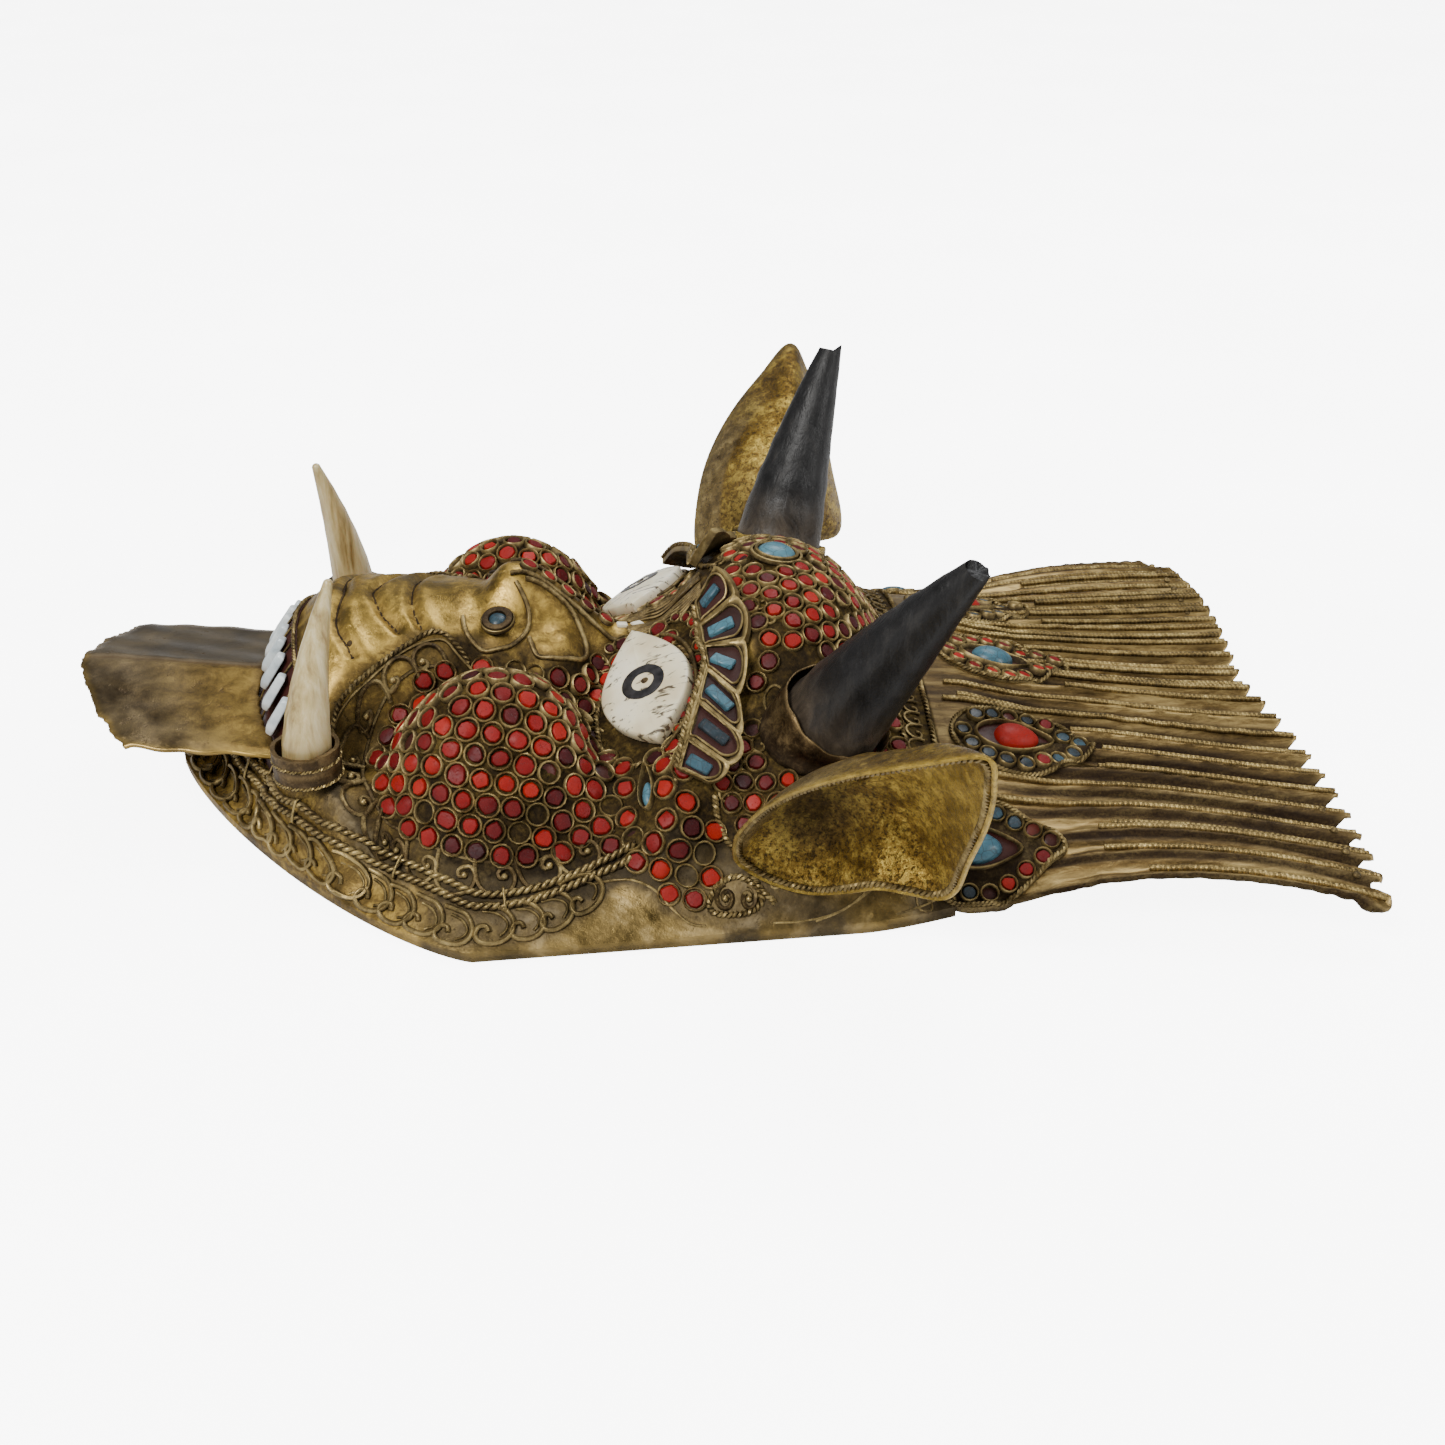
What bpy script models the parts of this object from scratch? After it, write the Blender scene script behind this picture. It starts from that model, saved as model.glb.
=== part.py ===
"""Horned beast mask of raised sheet brass, lying on its back with the face up.

The long axis runs along X, from the tongue at -X to the ends of the hair at +X.
The mask's own left side is at -Y, and the face looks up along +Z.
The raised sheet is a free form, so its landmarks are shares of the face's own length, half width
and rise. Walls, gaps and the fitted pieces have sizes of their own in metres.
"""
import math

import bmesh
import bpy
from mathutils import Vector
from mathutils.bvhtree import BVHTree

# The raised sheet of the face
FACE_LENGTH = 0.194
FACE_HALF_WIDTH = 0.087
FACE_RISE = 0.062
SHEET = 0.0012
CHIN_LIFT = 0.006
HEAD_LIFT = 0.003
HEAD_LIFT_START = 0.89
RIM_TURN = 0.002
FACE_ROWS = 35
FACE_COLUMNS = 30

# Clearances between pieces that touch
GAP = 0.0003
SEAT_GAP = 0.0005
LIFT_REACH = 0.03

# The fan of hair
HAIR_LENGTH = 0.0975
HAIR_HALF_END = 0.0945
HAIR_END_RISE = 0.020
HAIR_EDGE_RISE = 0.0165
HAIR_EDGE_CREST = 0.6
HAIR_TIP_RISE = 0.012
HAIR_HOOK_DROP = 0.006
STRAND_COUNT = 23
STRAND_RELIEF = 0.0019
TOOTH_OF_HAIR = 0.0035
HAIR_ROWS = 9

# The tongue
TONGUE_REACH = 0.046
TONGUE_HALF_WIDTH = 0.035
TONGUE_ROOT_RISE = 0.033
TONGUE_TIP_LIFT = 0.005
TONGUE_FOLD = math.radians(12.4)
TONGUE_SHEET = 0.0014
TONGUE_CUT = {"left": 0.017, "right": 0.007}

# The teeth
TEETH_COUNT = 10
TOOTH_PITCH = 0.0062
TOOTH_WIDTH = 0.0044
TOOTH_LENGTH = 0.0105
TOOTH_THICKNESS = 0.0024

# The tusks and their cups
TUSK_LENGTH = 0.045
TUSK_BASE_RADIUS = 0.0062
TUSK_TIP_RADIUS = 0.0011
CUP_HEIGHT = 0.0085
CUP_WALL = 0.0014
CUP_FLOOR = 0.0012
CUP_ROOM = 0.0006

# The eyes
EYE_LENGTH = 0.0405
EYE_WIDTH = 0.0245
EYE_THICKNESS = 0.0036
EYE_DOME = 0.0008
EYE_POINT = 1.9
EYE_LEAN = 0.14
EYE_TILT_ALONG = math.radians(28.5)
EYE_TILT_ACROSS = math.radians(18.0)

# The brow plates
BROW_THICKNESS = 0.0022
BROW_SCALLOP = 0.0022
BROW_CELLS = 6

# The horns and their collars
HORN_LENGTH = 0.063
HORN_BASE_RADIUS = 0.0125
HORN_TIP_RADIUS = 0.0026
HORN_BOW = 0.003
COLLAR_WALL = 0.0012
COLLAR_ROOM = 0.0009
HORN_STAND = 0.004

# The ears
EAR_LENGTH = 0.0875
EAR_DEPTH = 0.017
EAR_SHEET = 0.0012
EAR_STAND = 0.0015

# The stones and the leaf settings
FOREHEAD_STONE = (0.0052, 0.0042, 0.0030)
NOSTRIL_STONE = (0.0032, 0.0032, 0.0024)
LEAF_LENGTH = 0.031
LEAF_WIDTH = 0.0185
LEAF_THICKNESS = 0.0013
LEAF_SIDES = 14
LEAF_STAND = 0.0006
LEAF_POINT = 0.35
LEAF_NARROW = 0.55

# Landmarks on the face as shares: along the length from the chin, across from the middle, and up
JAW_CORNER = 0.423
JAW_POWER = 1.28
HEAD_TAPER = 0.085
VAULT = ((0.0, 0.40), (0.13, 0.46), (0.26, 0.56), (0.46, 0.61), (0.63, 0.655), (0.84, 0.67), (0.95, 0.56), (1.0, 0.51))
VAULT_FULLNESS = ((0.0, 2.0), (0.45, 1.5), (0.66, 1.6), (0.80, 3.0), (1.0, 3.0))
CHEEK = (0.448, 0.46, 0.785)
CHEEK_SPREAD = (0.186, 0.328)
CHEEK_FOOT = 0.17
LIP_FOOT = 0.1186
LIP_EDGE = 0.237
MUZZLE_END = 0.415
LIP_FOOT_RISE = 0.42
MUZZLE_RISE = 0.865
MUZZLE_HALF = (0.365, 0.225)
MUZZLE_DROP = (0.19, 0.11)
MOUTH_ARCH = 0.041
MOUTH_HALF = 0.437
MOUTH_CORNER = (0.2165, 0.53, 0.43)
CORNER_SPREAD = (0.105, 0.20)
NOSE_TIP = 0.464
NOSE_FRONT = 0.405
NOSE_BACK = 0.615
NOSE_ROOT_RISE = 0.66
NOSE_HALF = 0.115
NOSTRIL = (0.448, 0.155, 0.80)
NOSTRIL_SPREAD = (0.052, 0.115)
NOSE_WING = (0.528, 0.155, 0.765)
WING_SPREAD = (0.068, 0.125)
EYE = (0.631, 0.316, 0.645)
FOREHEAD = (0.804, 0.0, 0.975)
FOREHEAD_SPREAD = (0.146, 0.46)
FOREHEAD_FOOT = 0.56
BROW_RIDGE = ((0.7216, 0.13, 0.775), (0.711, 0.40, 0.665), (0.688, 0.57, 0.57), (0.665, 0.70, 0.42))
RIDGE_SPREAD = 0.14
HORN_SEAT = {"left": (0.853, 0.517), "right": (0.827, 0.53)}
EAR_ROOT = (0.7345, 0.80)
STONE_SEAT = 0.812
LEAF_SEATS = ((0.20, 0.0), (0.215, 0.42), (0.09, 0.875))

# Where the tips of the standing pieces point, as directions from their roots
TUSK_SWAY = {"left": (0.0085, -0.0095), "right": (-0.0055, -0.0080)}
HORN_LEAN = {"left": (0.431, 0.33, 0.847), "right": (0.215, 0.255, 0.935)}
EAR_LEAN = {"left": (0.501, 0.583, 0.639), "right": (0.35, 0.70, 0.60)}
EAR_SPREAD = {"left": (0.747, 0.095, -0.665), "right": (0.80, -0.10, -0.42)}
SIDES = {"left": -1, "right": 1}

# The rim of an ear, as shares of its length: along the ear and across it
EAR_RIM = (
    (0.0, 0.0), (0.10, -0.066), (0.22, -0.104), (0.36, -0.128), (0.50, -0.129), (0.66, -0.106), (0.83, -0.058),
    (1.0, 0.0), (0.93, 0.09), (0.78, 0.20), (0.59, 0.307), (0.455, 0.386), (0.372, 0.402), (0.315, 0.343),
    (0.25, 0.285), (0.148, 0.259), (0.042, 0.217), (-0.015, 0.13), (-0.02, 0.05),
)
EAR_HEART = (0.34, 0.09)

# The brow plate's outer edge, as shares: along, across, up
BROW_OUTER = ((0.740, 0.135, 0.965), (0.765, 0.285, 0.845), (0.748, 0.475, 0.665), (0.744, 0.625, 0.545), (0.706, 0.70, 0.475))
BROW_INNER = ((0.7165, 0.150, 0.825), (0.714, 0.285, 0.760), (0.711, 0.405, 0.735), (0.691, 0.555, 0.645), (0.675, 0.675, 0.51))

BRASS = ((0.34, 0.25, 0.10), 0.42, 1.0)
BRASS_EAR = ((0.45, 0.33, 0.08), 0.38, 1.0)
HAIR_BRASS = ((0.36, 0.28, 0.14), 0.45, 1.0)
TONGUE_BRASS = ((0.25, 0.17, 0.07), 0.40, 1.0)
BONE = ((0.78, 0.70, 0.52), 0.45, 0.0)
HORN_BLACK = ((0.02, 0.02, 0.022), 0.55, 0.0)
TOOTH_WHITE = ((0.62, 0.68, 0.68), 0.35, 0.0)
TURQUOISE = ((0.12, 0.33, 0.42), 0.35, 0.0)
CORAL = ((0.50, 0.04, 0.03), 0.35, 0.0)


def clear_scene():
    """Take away every object that a new file starts with."""
    for thing in list(bpy.data.objects):
        bpy.data.objects.remove(thing, do_unlink=True)


def finish_of(name, look):
    """A plain material with a colour, a roughness and a metallic value."""
    colour, roughness, metallic = look
    material = bpy.data.materials.new(name)
    material.use_nodes = True
    shader = material.node_tree.nodes["Principled BSDF"]
    shader.inputs["Base Color"].default_value = (*colour, 1.0)
    shader.inputs["Roughness"].default_value = roughness
    shader.inputs["Metallic"].default_value = metallic
    return material


def add_object(name, shape, material, smooth=True):
    """Turn a bmesh into a named object with its material."""
    mesh = bpy.data.meshes.new(name)
    shape.to_mesh(mesh)
    shape.free()
    mesh.materials.append(material)
    if smooth:
        mesh.shade_smooth()
        mesh.set_sharp_from_angle(angle=math.radians(40))
    thing = bpy.data.objects.new(name, mesh)
    bpy.context.scene.collection.objects.link(thing)
    return thing


def add_wall(thing, thickness):
    """Give an open sheet its wall, on the side away from its normals."""
    wall = thing.modifiers.new("wall", "SOLIDIFY")
    wall.thickness = thickness
    wall.offset = -1.0
    wall.use_even_offset = True
    wall.use_rim = True


def clamp(value, low=0.0, high=1.0):
    return max(low, min(high, value))


def ease(value):
    """Rise smoothly from 0 to 1."""
    value = clamp(value)
    return value * value * (3.0 - 2.0 * value)


def mix(low, high, share):
    return low + (high - low) * share


def blend_max(first, second, width):
    """The larger of two heights, with the crease between them rounded over a width."""
    overlap = max(width - abs(first - second), 0.0) / width
    return max(first, second) + overlap * overlap * width * 0.25


def along_points(points, share):
    """A smooth run of values through evenly or unevenly placed points, given as (place, value)."""
    for (low, low_value), (high, high_value) in zip(points, points[1:]):
        if share <= high:
            return mix(low_value, high_value, ease((share - low) / (high - low)) * 0.5
                       + clamp((share - low) / (high - low)) * 0.5)
    return points[-1][1]


def curve_point(points, share):
    """A point at a share of a smooth curve through a few points."""
    spans = len(points) - 1
    place = clamp(share) * spans
    index = min(int(place), spans - 1)
    t = place - index
    before = points[max(index - 1, 0)]
    start = points[index]
    end = points[index + 1]
    after = points[min(index + 2, spans)]
    result = []
    for a, b, c, d in zip(before, start, end, after):
        slope_in = (c - a) * 0.5
        slope_out = (d - b) * 0.5
        rise = c - b
        result.append(b + t * (slope_in + t * (3.0 * rise - 2.0 * slope_in - slope_out
                                              + t * (slope_in + slope_out - 2.0 * rise))))
    return tuple(result)


def half_width(along):
    """The face's half width, as a share, at a share of its length."""
    if along < JAW_CORNER:
        rest = 1.0 - ((JAW_CORNER - along) / JAW_CORNER) ** JAW_POWER
        return max(rest, 0.0) ** (1.0 / JAW_POWER)
    return 1.0 - HEAD_TAPER * (along - JAW_CORNER) / (1.0 - JAW_CORNER)


def rim_share(along, across):
    """How far out a place is: 0 on the spine of the face and 1 on its rim."""
    if along < JAW_CORNER:
        back = ((JAW_CORNER - along) / JAW_CORNER) ** JAW_POWER
        return (back + abs(across) ** JAW_POWER) ** (1.0 / JAW_POWER)
    return abs(across) / half_width(along)


def rim_rise(along):
    """The rim's height in metres: flat along the sides, lifted at the chin and at the hair."""
    chin = CHIN_LIFT * clamp((JAW_CORNER - along) / JAW_CORNER) ** 2
    head = HEAD_LIFT * clamp((along - HEAD_LIFT_START) / (1.0 - HEAD_LIFT_START)) ** 1.5
    return chin + head


def dome(along, across, centre, spread, foot, power=1.0):
    """A rounded boss with its foot at a given height."""
    far = ((along - centre[0]) / spread[0]) ** 2 + ((abs(across) - centre[1]) / spread[1]) ** 2
    if far >= 1.0:
        return foot - (far - 1.0) * 0.25
    return foot + (centre[2] - foot) * (1.0 - far) ** power


def muzzle(along, across):
    """The snout: a ramp behind the teeth, a folded top and rounded sides that narrow to the nose."""
    arched = along - MOUTH_ARCH * (across / MOUTH_HALF) ** 2
    climb = clamp((arched - LIP_FOOT) / (LIP_EDGE - LIP_FOOT))
    ramp = mix(LIP_FOOT_RISE, MUZZLE_RISE, 1.0 - (1.0 - climb) ** 2)
    ramp -= 5.0 * max(LIP_FOOT - arched, 0.0)
    back = clamp((along - LIP_EDGE) / (MUZZLE_END - LIP_EDGE))
    half = mix(MUZZLE_HALF[0], MUZZLE_HALF[1], back)
    drop = mix(MUZZLE_DROP[0], MUZZLE_DROP[1], back)
    out = abs(across) / half
    side = drop * out * out
    if out > 1.0:
        side += drop * 4.5 * (out - 1.0)
    end = ease((along - MUZZLE_END) / 0.06)
    return ramp - side - end * 0.35


def nose(along, across):
    """The bridge of the nose, highest at its tip."""
    beyond = max(NOSE_FRONT - along, along - NOSE_BACK, 0.0)
    if along < NOSE_TIP:
        top = mix(MUZZLE_RISE - 0.08, 1.0, ease((along - NOSE_FRONT) / (NOSE_TIP - NOSE_FRONT)))
    else:
        top = mix(1.0, NOSE_ROOT_RISE, ease((along - NOSE_TIP) / (NOSE_BACK - NOSE_TIP)) * 0.6
                  + 0.4 * (along - NOSE_TIP) / (NOSE_BACK - NOSE_TIP))
    out = abs(across) / NOSE_HALF
    return top - 0.16 * out * out - 4.0 * beyond


def brow_ridge(along, across):
    """The swelling that the brow plates stand on."""
    best = -1.0
    steps = 12
    for index in range(steps + 1):
        place = curve_point(BROW_RIDGE, index / steps)
        far = ((along - place[0]) * 2.2) ** 2 + (abs(across) - place[1]) ** 2
        height = place[2] - 0.22 * far / (RIDGE_SPREAD * RIDGE_SPREAD)
        best = max(best, height)
    return best


def eye_plane(along, across):
    """Height share of the tilted plane that the eye's back lies on."""
    run = (along - EYE[0]) * FACE_LENGTH * math.tan(EYE_TILT_ALONG)
    side = (EYE[1] - abs(across)) * FACE_HALF_WIDTH * math.tan(EYE_TILT_ACROSS)
    sunk = (EYE_THICKNESS + SEAT_GAP + 0.0004) / math.cos(EYE_TILT_ALONG)
    return EYE[2] + (run + side - sunk) / FACE_RISE


def face_height(along, across):
    """The outer surface's height in metres at a place given in shares."""
    out = clamp(rim_share(along, across))
    rim = (rim_rise(along) + RIM_TURN) / FACE_RISE
    height = rim + (along_points(VAULT, along) - rim) * (1.0 - out ** along_points(VAULT_FULLNESS, along))
    inner = ease((1.0 - out) / 0.12)
    forms = (
        (dome(along, across, CHEEK, CHEEK_SPREAD, CHEEK_FOOT), 0.05),
        (dome(along, across, MOUTH_CORNER, CORNER_SPREAD, 0.18, 0.35), 0.03),
        (muzzle(along, across), 0.03),
        (nose(along, across), 0.035),
        (dome(along, across, NOSTRIL, NOSTRIL_SPREAD, 0.60, 0.6), 0.025),
        (dome(along, across, NOSE_WING, WING_SPREAD, 0.56, 0.6), 0.03),
        (brow_ridge(along, across), 0.06),
        (dome(along, across, FOREHEAD, FOREHEAD_SPREAD, FOREHEAD_FOOT, 0.6), 0.05),
    )
    raised = height
    for form, width in forms:
        raised = blend_max(raised, form, width)
    height = mix(height, raised, inner)
    reach = (((along - EYE[0]) * FACE_LENGTH / (EYE_WIDTH * 0.62)) ** 2
             + ((abs(across) - EYE[1]) * FACE_HALF_WIDTH / (EYE_LENGTH * 0.58)) ** 2)
    bed = 1.0 - ease((reach - 0.9) / 0.8)
    height = mix(height, eye_plane(along, across), bed)
    return height * FACE_RISE


def face_point(along, across):
    """A place on the face's outer surface, from its shares."""
    return Vector((along * FACE_LENGTH, across * FACE_HALF_WIDTH, face_height(along, across)))


def landmark(shares, side):
    """A landmark in metres, on one side of the face."""
    return Vector((shares[0] * FACE_LENGTH, side * shares[1] * FACE_HALF_WIDTH, shares[2] * FACE_RISE))


def column_share(index, count):
    """Columns stand closer together near the middle, where the nose and the snout are."""
    u = 2.0 * index / count - 1.0
    return 0.74 * u + 0.26 * u ** 3


def build_face(material):
    """The raised sheet with its rim turned down, open behind."""
    shape = bmesh.new()
    rows = []
    for row in range(FACE_ROWS + 1):
        share = row / FACE_ROWS
        along = mix(0.004, 1.0, mix(share, share ** 1.5, 0.25))
        width = half_width(along)
        rows.append([shape.verts.new(face_point(along, column_share(c, FACE_COLUMNS) * width))
                     for c in range(FACE_COLUMNS + 1)])
    for near, far in zip(rows, rows[1:]):
        for c in range(FACE_COLUMNS):
            shape.faces.new((near[c], far[c], far[c + 1], near[c + 1]))
    shape.normal_update()
    seam = set(rows[-1])
    rim = [edge for edge in shape.edges if edge.is_boundary and not set(edge.verts) <= seam]
    turned = bmesh.ops.extrude_edge_only(shape, edges=rim)["geom"]
    for vert in turned:
        if isinstance(vert, bmesh.types.BMVert):
            vert.co.z = rim_rise(vert.co.x / FACE_LENGTH)
    bmesh.ops.recalc_face_normals(shape, faces=shape.faces)
    if rows[FACE_ROWS // 2][FACE_COLUMNS // 2].normal.z < 0:
        bmesh.ops.reverse_faces(shape, faces=shape.faces)
    skin = BVHTree.FromBMesh(shape)
    thing = add_object("face_shell", shape, material)
    add_wall(thing, SHEET)
    return thing, skin


def hair_edge_rise(share):
    """The height of the fan's side edge: it arches up off the floor and comes down at its tip."""
    start = face_height(1.0, half_width(1.0))
    if share < HAIR_EDGE_CREST:
        return mix(HAIR_EDGE_RISE, start, (1.0 - share / HAIR_EDGE_CREST) ** 1.6)
    return mix(HAIR_EDGE_RISE, HAIR_TIP_RISE, ((share - HAIR_EDGE_CREST) / (1.0 - HAIR_EDGE_CREST)) ** 2)


def hair_point(u, share, ridge):
    """A place on the fan: u runs across from -1 to 1 and share along from root to end."""
    end = HAIR_LENGTH * (0.93 + 0.07 * abs(u) + 0.03 * math.sin(math.pi * abs(u)))
    root_half = half_width(1.0) * FACE_HALF_WIDTH
    spread = root_half + (HAIR_HALF_END - root_half) * share ** 1.6
    root = face_height(1.0, u * half_width(1.0))
    middle = mix(face_height(1.0, 0.0), HAIR_END_RISE, 1.0 - (1.0 - share) ** 1.7)
    edge = hair_edge_rise(share)
    crown = edge + (middle - edge) * (1.0 - abs(u) ** 2)
    height = mix(root, crown, ease(share / 0.3))
    strength = ease((share - 0.10) / 0.35)
    height += ridge * STRAND_RELIEF * strength
    x = FACE_LENGTH + GAP + share * end + ridge * TOOTH_OF_HAIR * ease((share - 0.8) / 0.2)
    bend = 0.0035 * math.sin(math.pi * abs(u)) * ease((share - 0.35) / 0.65)
    y = u * spread + math.copysign(bend, u)
    if abs(u) > 0.985:
        height -= HAIR_HOOK_DROP * ease((share - 0.9) / 0.1)
    return Vector((x, y, height))


def build_hair(material):
    """The fan of hair: embossed strands that end in a row of points."""
    shape = bmesh.new()
    columns = 2 * STRAND_COUNT
    rows = []
    for row in range(HAIR_ROWS + 1):
        share = row / HAIR_ROWS
        line = []
        for c in range(columns + 1):
            ridge = 1.0 if c % 2 == 0 else -0.6
            line.append(shape.verts.new(hair_point(2.0 * c / columns - 1.0, share, ridge)))
        rows.append(line)
    for near, far in zip(rows, rows[1:]):
        for c in range(columns):
            shape.faces.new((near[c], far[c], far[c + 1], near[c + 1]))
    shape.normal_update()
    bmesh.ops.recalc_face_normals(shape, faces=shape.faces)
    if rows[HAIR_ROWS // 2][columns // 2].normal.z < 0:
        bmesh.ops.reverse_faces(shape, faces=shape.faces)
    skin = BVHTree.FromBMesh(shape)
    thing = add_object("hair_fan", shape, material)
    add_wall(thing, SHEET)
    return thing, skin


def drop_on(skins, x, y):
    """The highest point of the built sheets straight below a place, with its normal."""
    best = None
    for skin in skins:
        point, normal, _, _ = skin.ray_cast(Vector((x, y, 1.0)), Vector((0.0, 0.0, -1.0)))
        if point is not None and (best is None or point.z > best[0].z):
            best = (point, normal)
    return best


def cap_and_close(shape, rings):
    """Skin a row of rings, given as lists of vertices, and close both ends."""
    count = len(rings[0])
    for low, high in zip(rings, rings[1:]):
        for i in range(count):
            j = (i + 1) % count
            shape.faces.new((low[i], low[j], high[j], high[i]))
    shape.faces.new(list(reversed(rings[0])))
    shape.faces.new(rings[-1])
    bmesh.ops.recalc_face_normals(shape, faces=shape.faces)


def square_frame(axis):
    """Two directions square to an axis and to each other."""
    axis = axis.normalized()
    first = axis.cross(Vector((0.0, 1.0, 0.0)))
    first.normalize()
    return first, axis.cross(first)


def build_spike(name, root, axis, length, radii, sway, sides, steps, material, taper):
    """A curved tapering point, such as a horn or a tusk: its tip stands off its root's axis by the sway."""
    first, second = square_frame(axis)
    shape = bmesh.new()
    rings = []
    for step in range(steps + 1):
        share = step / steps
        centre = root + axis * (length * share) + sway * share ** 1.7
        radius = mix(radii[0], radii[1], share ** taper)
        ring = []
        for i in range(sides):
            turn = 2.0 * math.pi * i / sides
            ring.append(shape.verts.new(centre + radius * (first * math.cos(turn) + second * math.sin(turn))))
        rings.append(ring)
    cap_and_close(shape, rings)
    return add_object(name, shape, material)


def build_collar(name, top, axis, inner, wall, sides, skins, material):
    """A collar round a horn's root, whose lower edge follows the sheet below it."""
    first, second = square_frame(axis)
    shape = bmesh.new()
    loops = []
    for radius in (inner + wall, inner):
        upper = []
        lower = []
        for i in range(sides):
            turn = 2.0 * math.pi * i / sides
            edge = top + radius * (first * math.cos(turn) + second * math.sin(turn))
            hit, _ = nearest_hit(skins, edge, -axis)
            upper.append(shape.verts.new(edge))
            lower.append(shape.verts.new(hit + axis * (2.0 * SEAT_GAP)))
        loops.append((upper, lower))
    (outer_up, outer_low), (inner_up, inner_low) = loops
    for i in range(sides):
        j = (i + 1) % sides
        shape.faces.new((outer_low[i], outer_low[j], outer_up[j], outer_up[i]))
        shape.faces.new((outer_up[i], outer_up[j], inner_up[j], inner_up[i]))
        shape.faces.new((inner_up[i], inner_up[j], inner_low[j], inner_low[i]))
        shape.faces.new((inner_low[i], inner_low[j], outer_low[j], outer_low[i]))
    bmesh.ops.recalc_face_normals(shape, faces=shape.faces)
    return add_object(name, shape, material)


def build_cup(name, low, axis, inner, sides, material):
    """A plain cup with a floor, open at the top."""
    first, second = square_frame(axis)
    shape = bmesh.new()
    rings = []
    outer = inner + CUP_WALL
    for radius, height in ((outer, 0.0), (outer, CUP_HEIGHT), (inner, CUP_HEIGHT), (inner, CUP_FLOOR)):
        ring = []
        for i in range(sides):
            turn = 2.0 * math.pi * i / sides
            out = first * math.cos(turn) + second * math.sin(turn)
            ring.append(shape.verts.new(low + axis * height + radius * out))
        rings.append(ring)
    cap_and_close(shape, rings)
    return add_object(name, shape, material)


def nearest_hit(skins, start, direction):
    """Where a straight line first meets any of the built sheets."""
    best = None
    for skin in skins:
        point, _, _, distance = skin.ray_cast(start, direction)
        if point is not None and (best is None or distance < best[1]):
            best = (point, distance)
    return best


def lift_clear(skins, points, way):
    """How far to move along a way so that every point stands clear of the sheets by the seat gap."""
    lift = -1.0
    for point in points:
        hit = nearest_hit(skins, point + way * LIFT_REACH, -way)
        if hit is not None:
            lift = max(lift, LIFT_REACH + SEAT_GAP - hit[1])
    return lift


def disc_points(centre, axis, radius, sides):
    """Points over a disc square to an axis."""
    first, second = square_frame(axis)
    points = [centre]
    for reach in (0.5, 1.0):
        for i in range(sides):
            turn = 2.0 * math.pi * i / sides
            points.append(centre + radius * reach * (first * math.cos(turn) + second * math.sin(turn)))
    return points


def build_tongue(face_skin, material):
    """A bent sheet with a fold along its middle, whose root meets the ramp under the teeth."""
    shape = bmesh.new()
    columns = 12
    rows = 5
    root_x = LIP_FOOT * FACE_LENGTH
    slope = math.tan(TONGUE_FOLD)
    grid = []
    for row in range(rows + 1):
        share = row / rows
        line = []
        for c in range(columns + 1):
            u = 2.0 * c / columns - 1.0
            y = u * TONGUE_HALF_WIDTH
            height = TONGUE_ROOT_RISE + TONGUE_TIP_LIFT * share - abs(y) * slope
            root = FACE_LENGTH
            for depth in (0.0, TONGUE_SHEET * 1.2):
                start = Vector((root_x - 0.02, y, height - depth))
                root = min(root, face_skin.ray_cast(start, Vector((1.0, 0.0, 0.0)))[0].x - 1.5 * SEAT_GAP)
            cut = TONGUE_CUT["left"] * (-u) ** 1.5 if u < 0 else TONGUE_CUT["right"] * u ** 2
            tip = root_x - TONGUE_REACH + cut
            line.append(shape.verts.new((mix(root, tip, share), y, height)))
        grid.append(line)
    for near, far in zip(grid, grid[1:]):
        for c in range(columns):
            shape.faces.new((near[c], near[c + 1], far[c + 1], far[c]))
    bmesh.ops.recalc_face_normals(shape, faces=shape.faces)
    if grid[1][columns // 2].normal.z < 0:
        bmesh.ops.reverse_faces(shape, faces=shape.faces)
    skin = BVHTree.FromBMesh(shape)
    thing = add_object("tongue", shape, material)
    add_wall(thing, TONGUE_SHEET)
    return thing, skin


def build_tooth(index, face_skin, tongue_skin, material):
    """One slanted bar lying on the ramp between the tongue and the upper lip."""
    y = (index - (TEETH_COUNT - 1) / 2.0) * TOOTH_PITCH
    arch = MOUTH_ARCH * (y / (MOUTH_HALF * FACE_HALF_WIDTH)) ** 2
    low_x = (LIP_FOOT + arch + 0.024) * FACE_LENGTH
    low, _ = drop_on((face_skin,), low_x, y)
    high, _ = drop_on((face_skin,), low_x + TOOTH_LENGTH * 0.72, y * 0.97)
    forward = (high - low).normalized()
    across = Vector((0.0, 1.0, 0.0))
    up = forward.cross(across).normalized()
    if up.z < 0:
        up = -up
    shape = bmesh.new()
    rings = []
    for share, size in ((0.0, 0.7), (0.2, 1.0), (1.0, 0.85)):
        centre = low + forward * (TOOTH_LENGTH * share)
        half = TOOTH_WIDTH * 0.5 * size
        rise = TOOTH_THICKNESS * size
        rings.append([
            centre - across * half,
            centre + across * half,
            centre + across * (half * 0.62) + up * rise,
            centre - across * (half * 0.62) + up * rise,
        ])
    feet = [mix(ring[0], ring[1], share) for ring in rings for share in (0.0, 0.5, 1.0)]
    lift = up * lift_clear((face_skin, tongue_skin), feet, up)
    rings = [[shape.verts.new(corner + lift) for corner in ring] for ring in rings]
    cap_and_close(shape, rings)
    return add_object("tooth_%02d" % (index + 1), shape, material, smooth=False)


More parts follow.
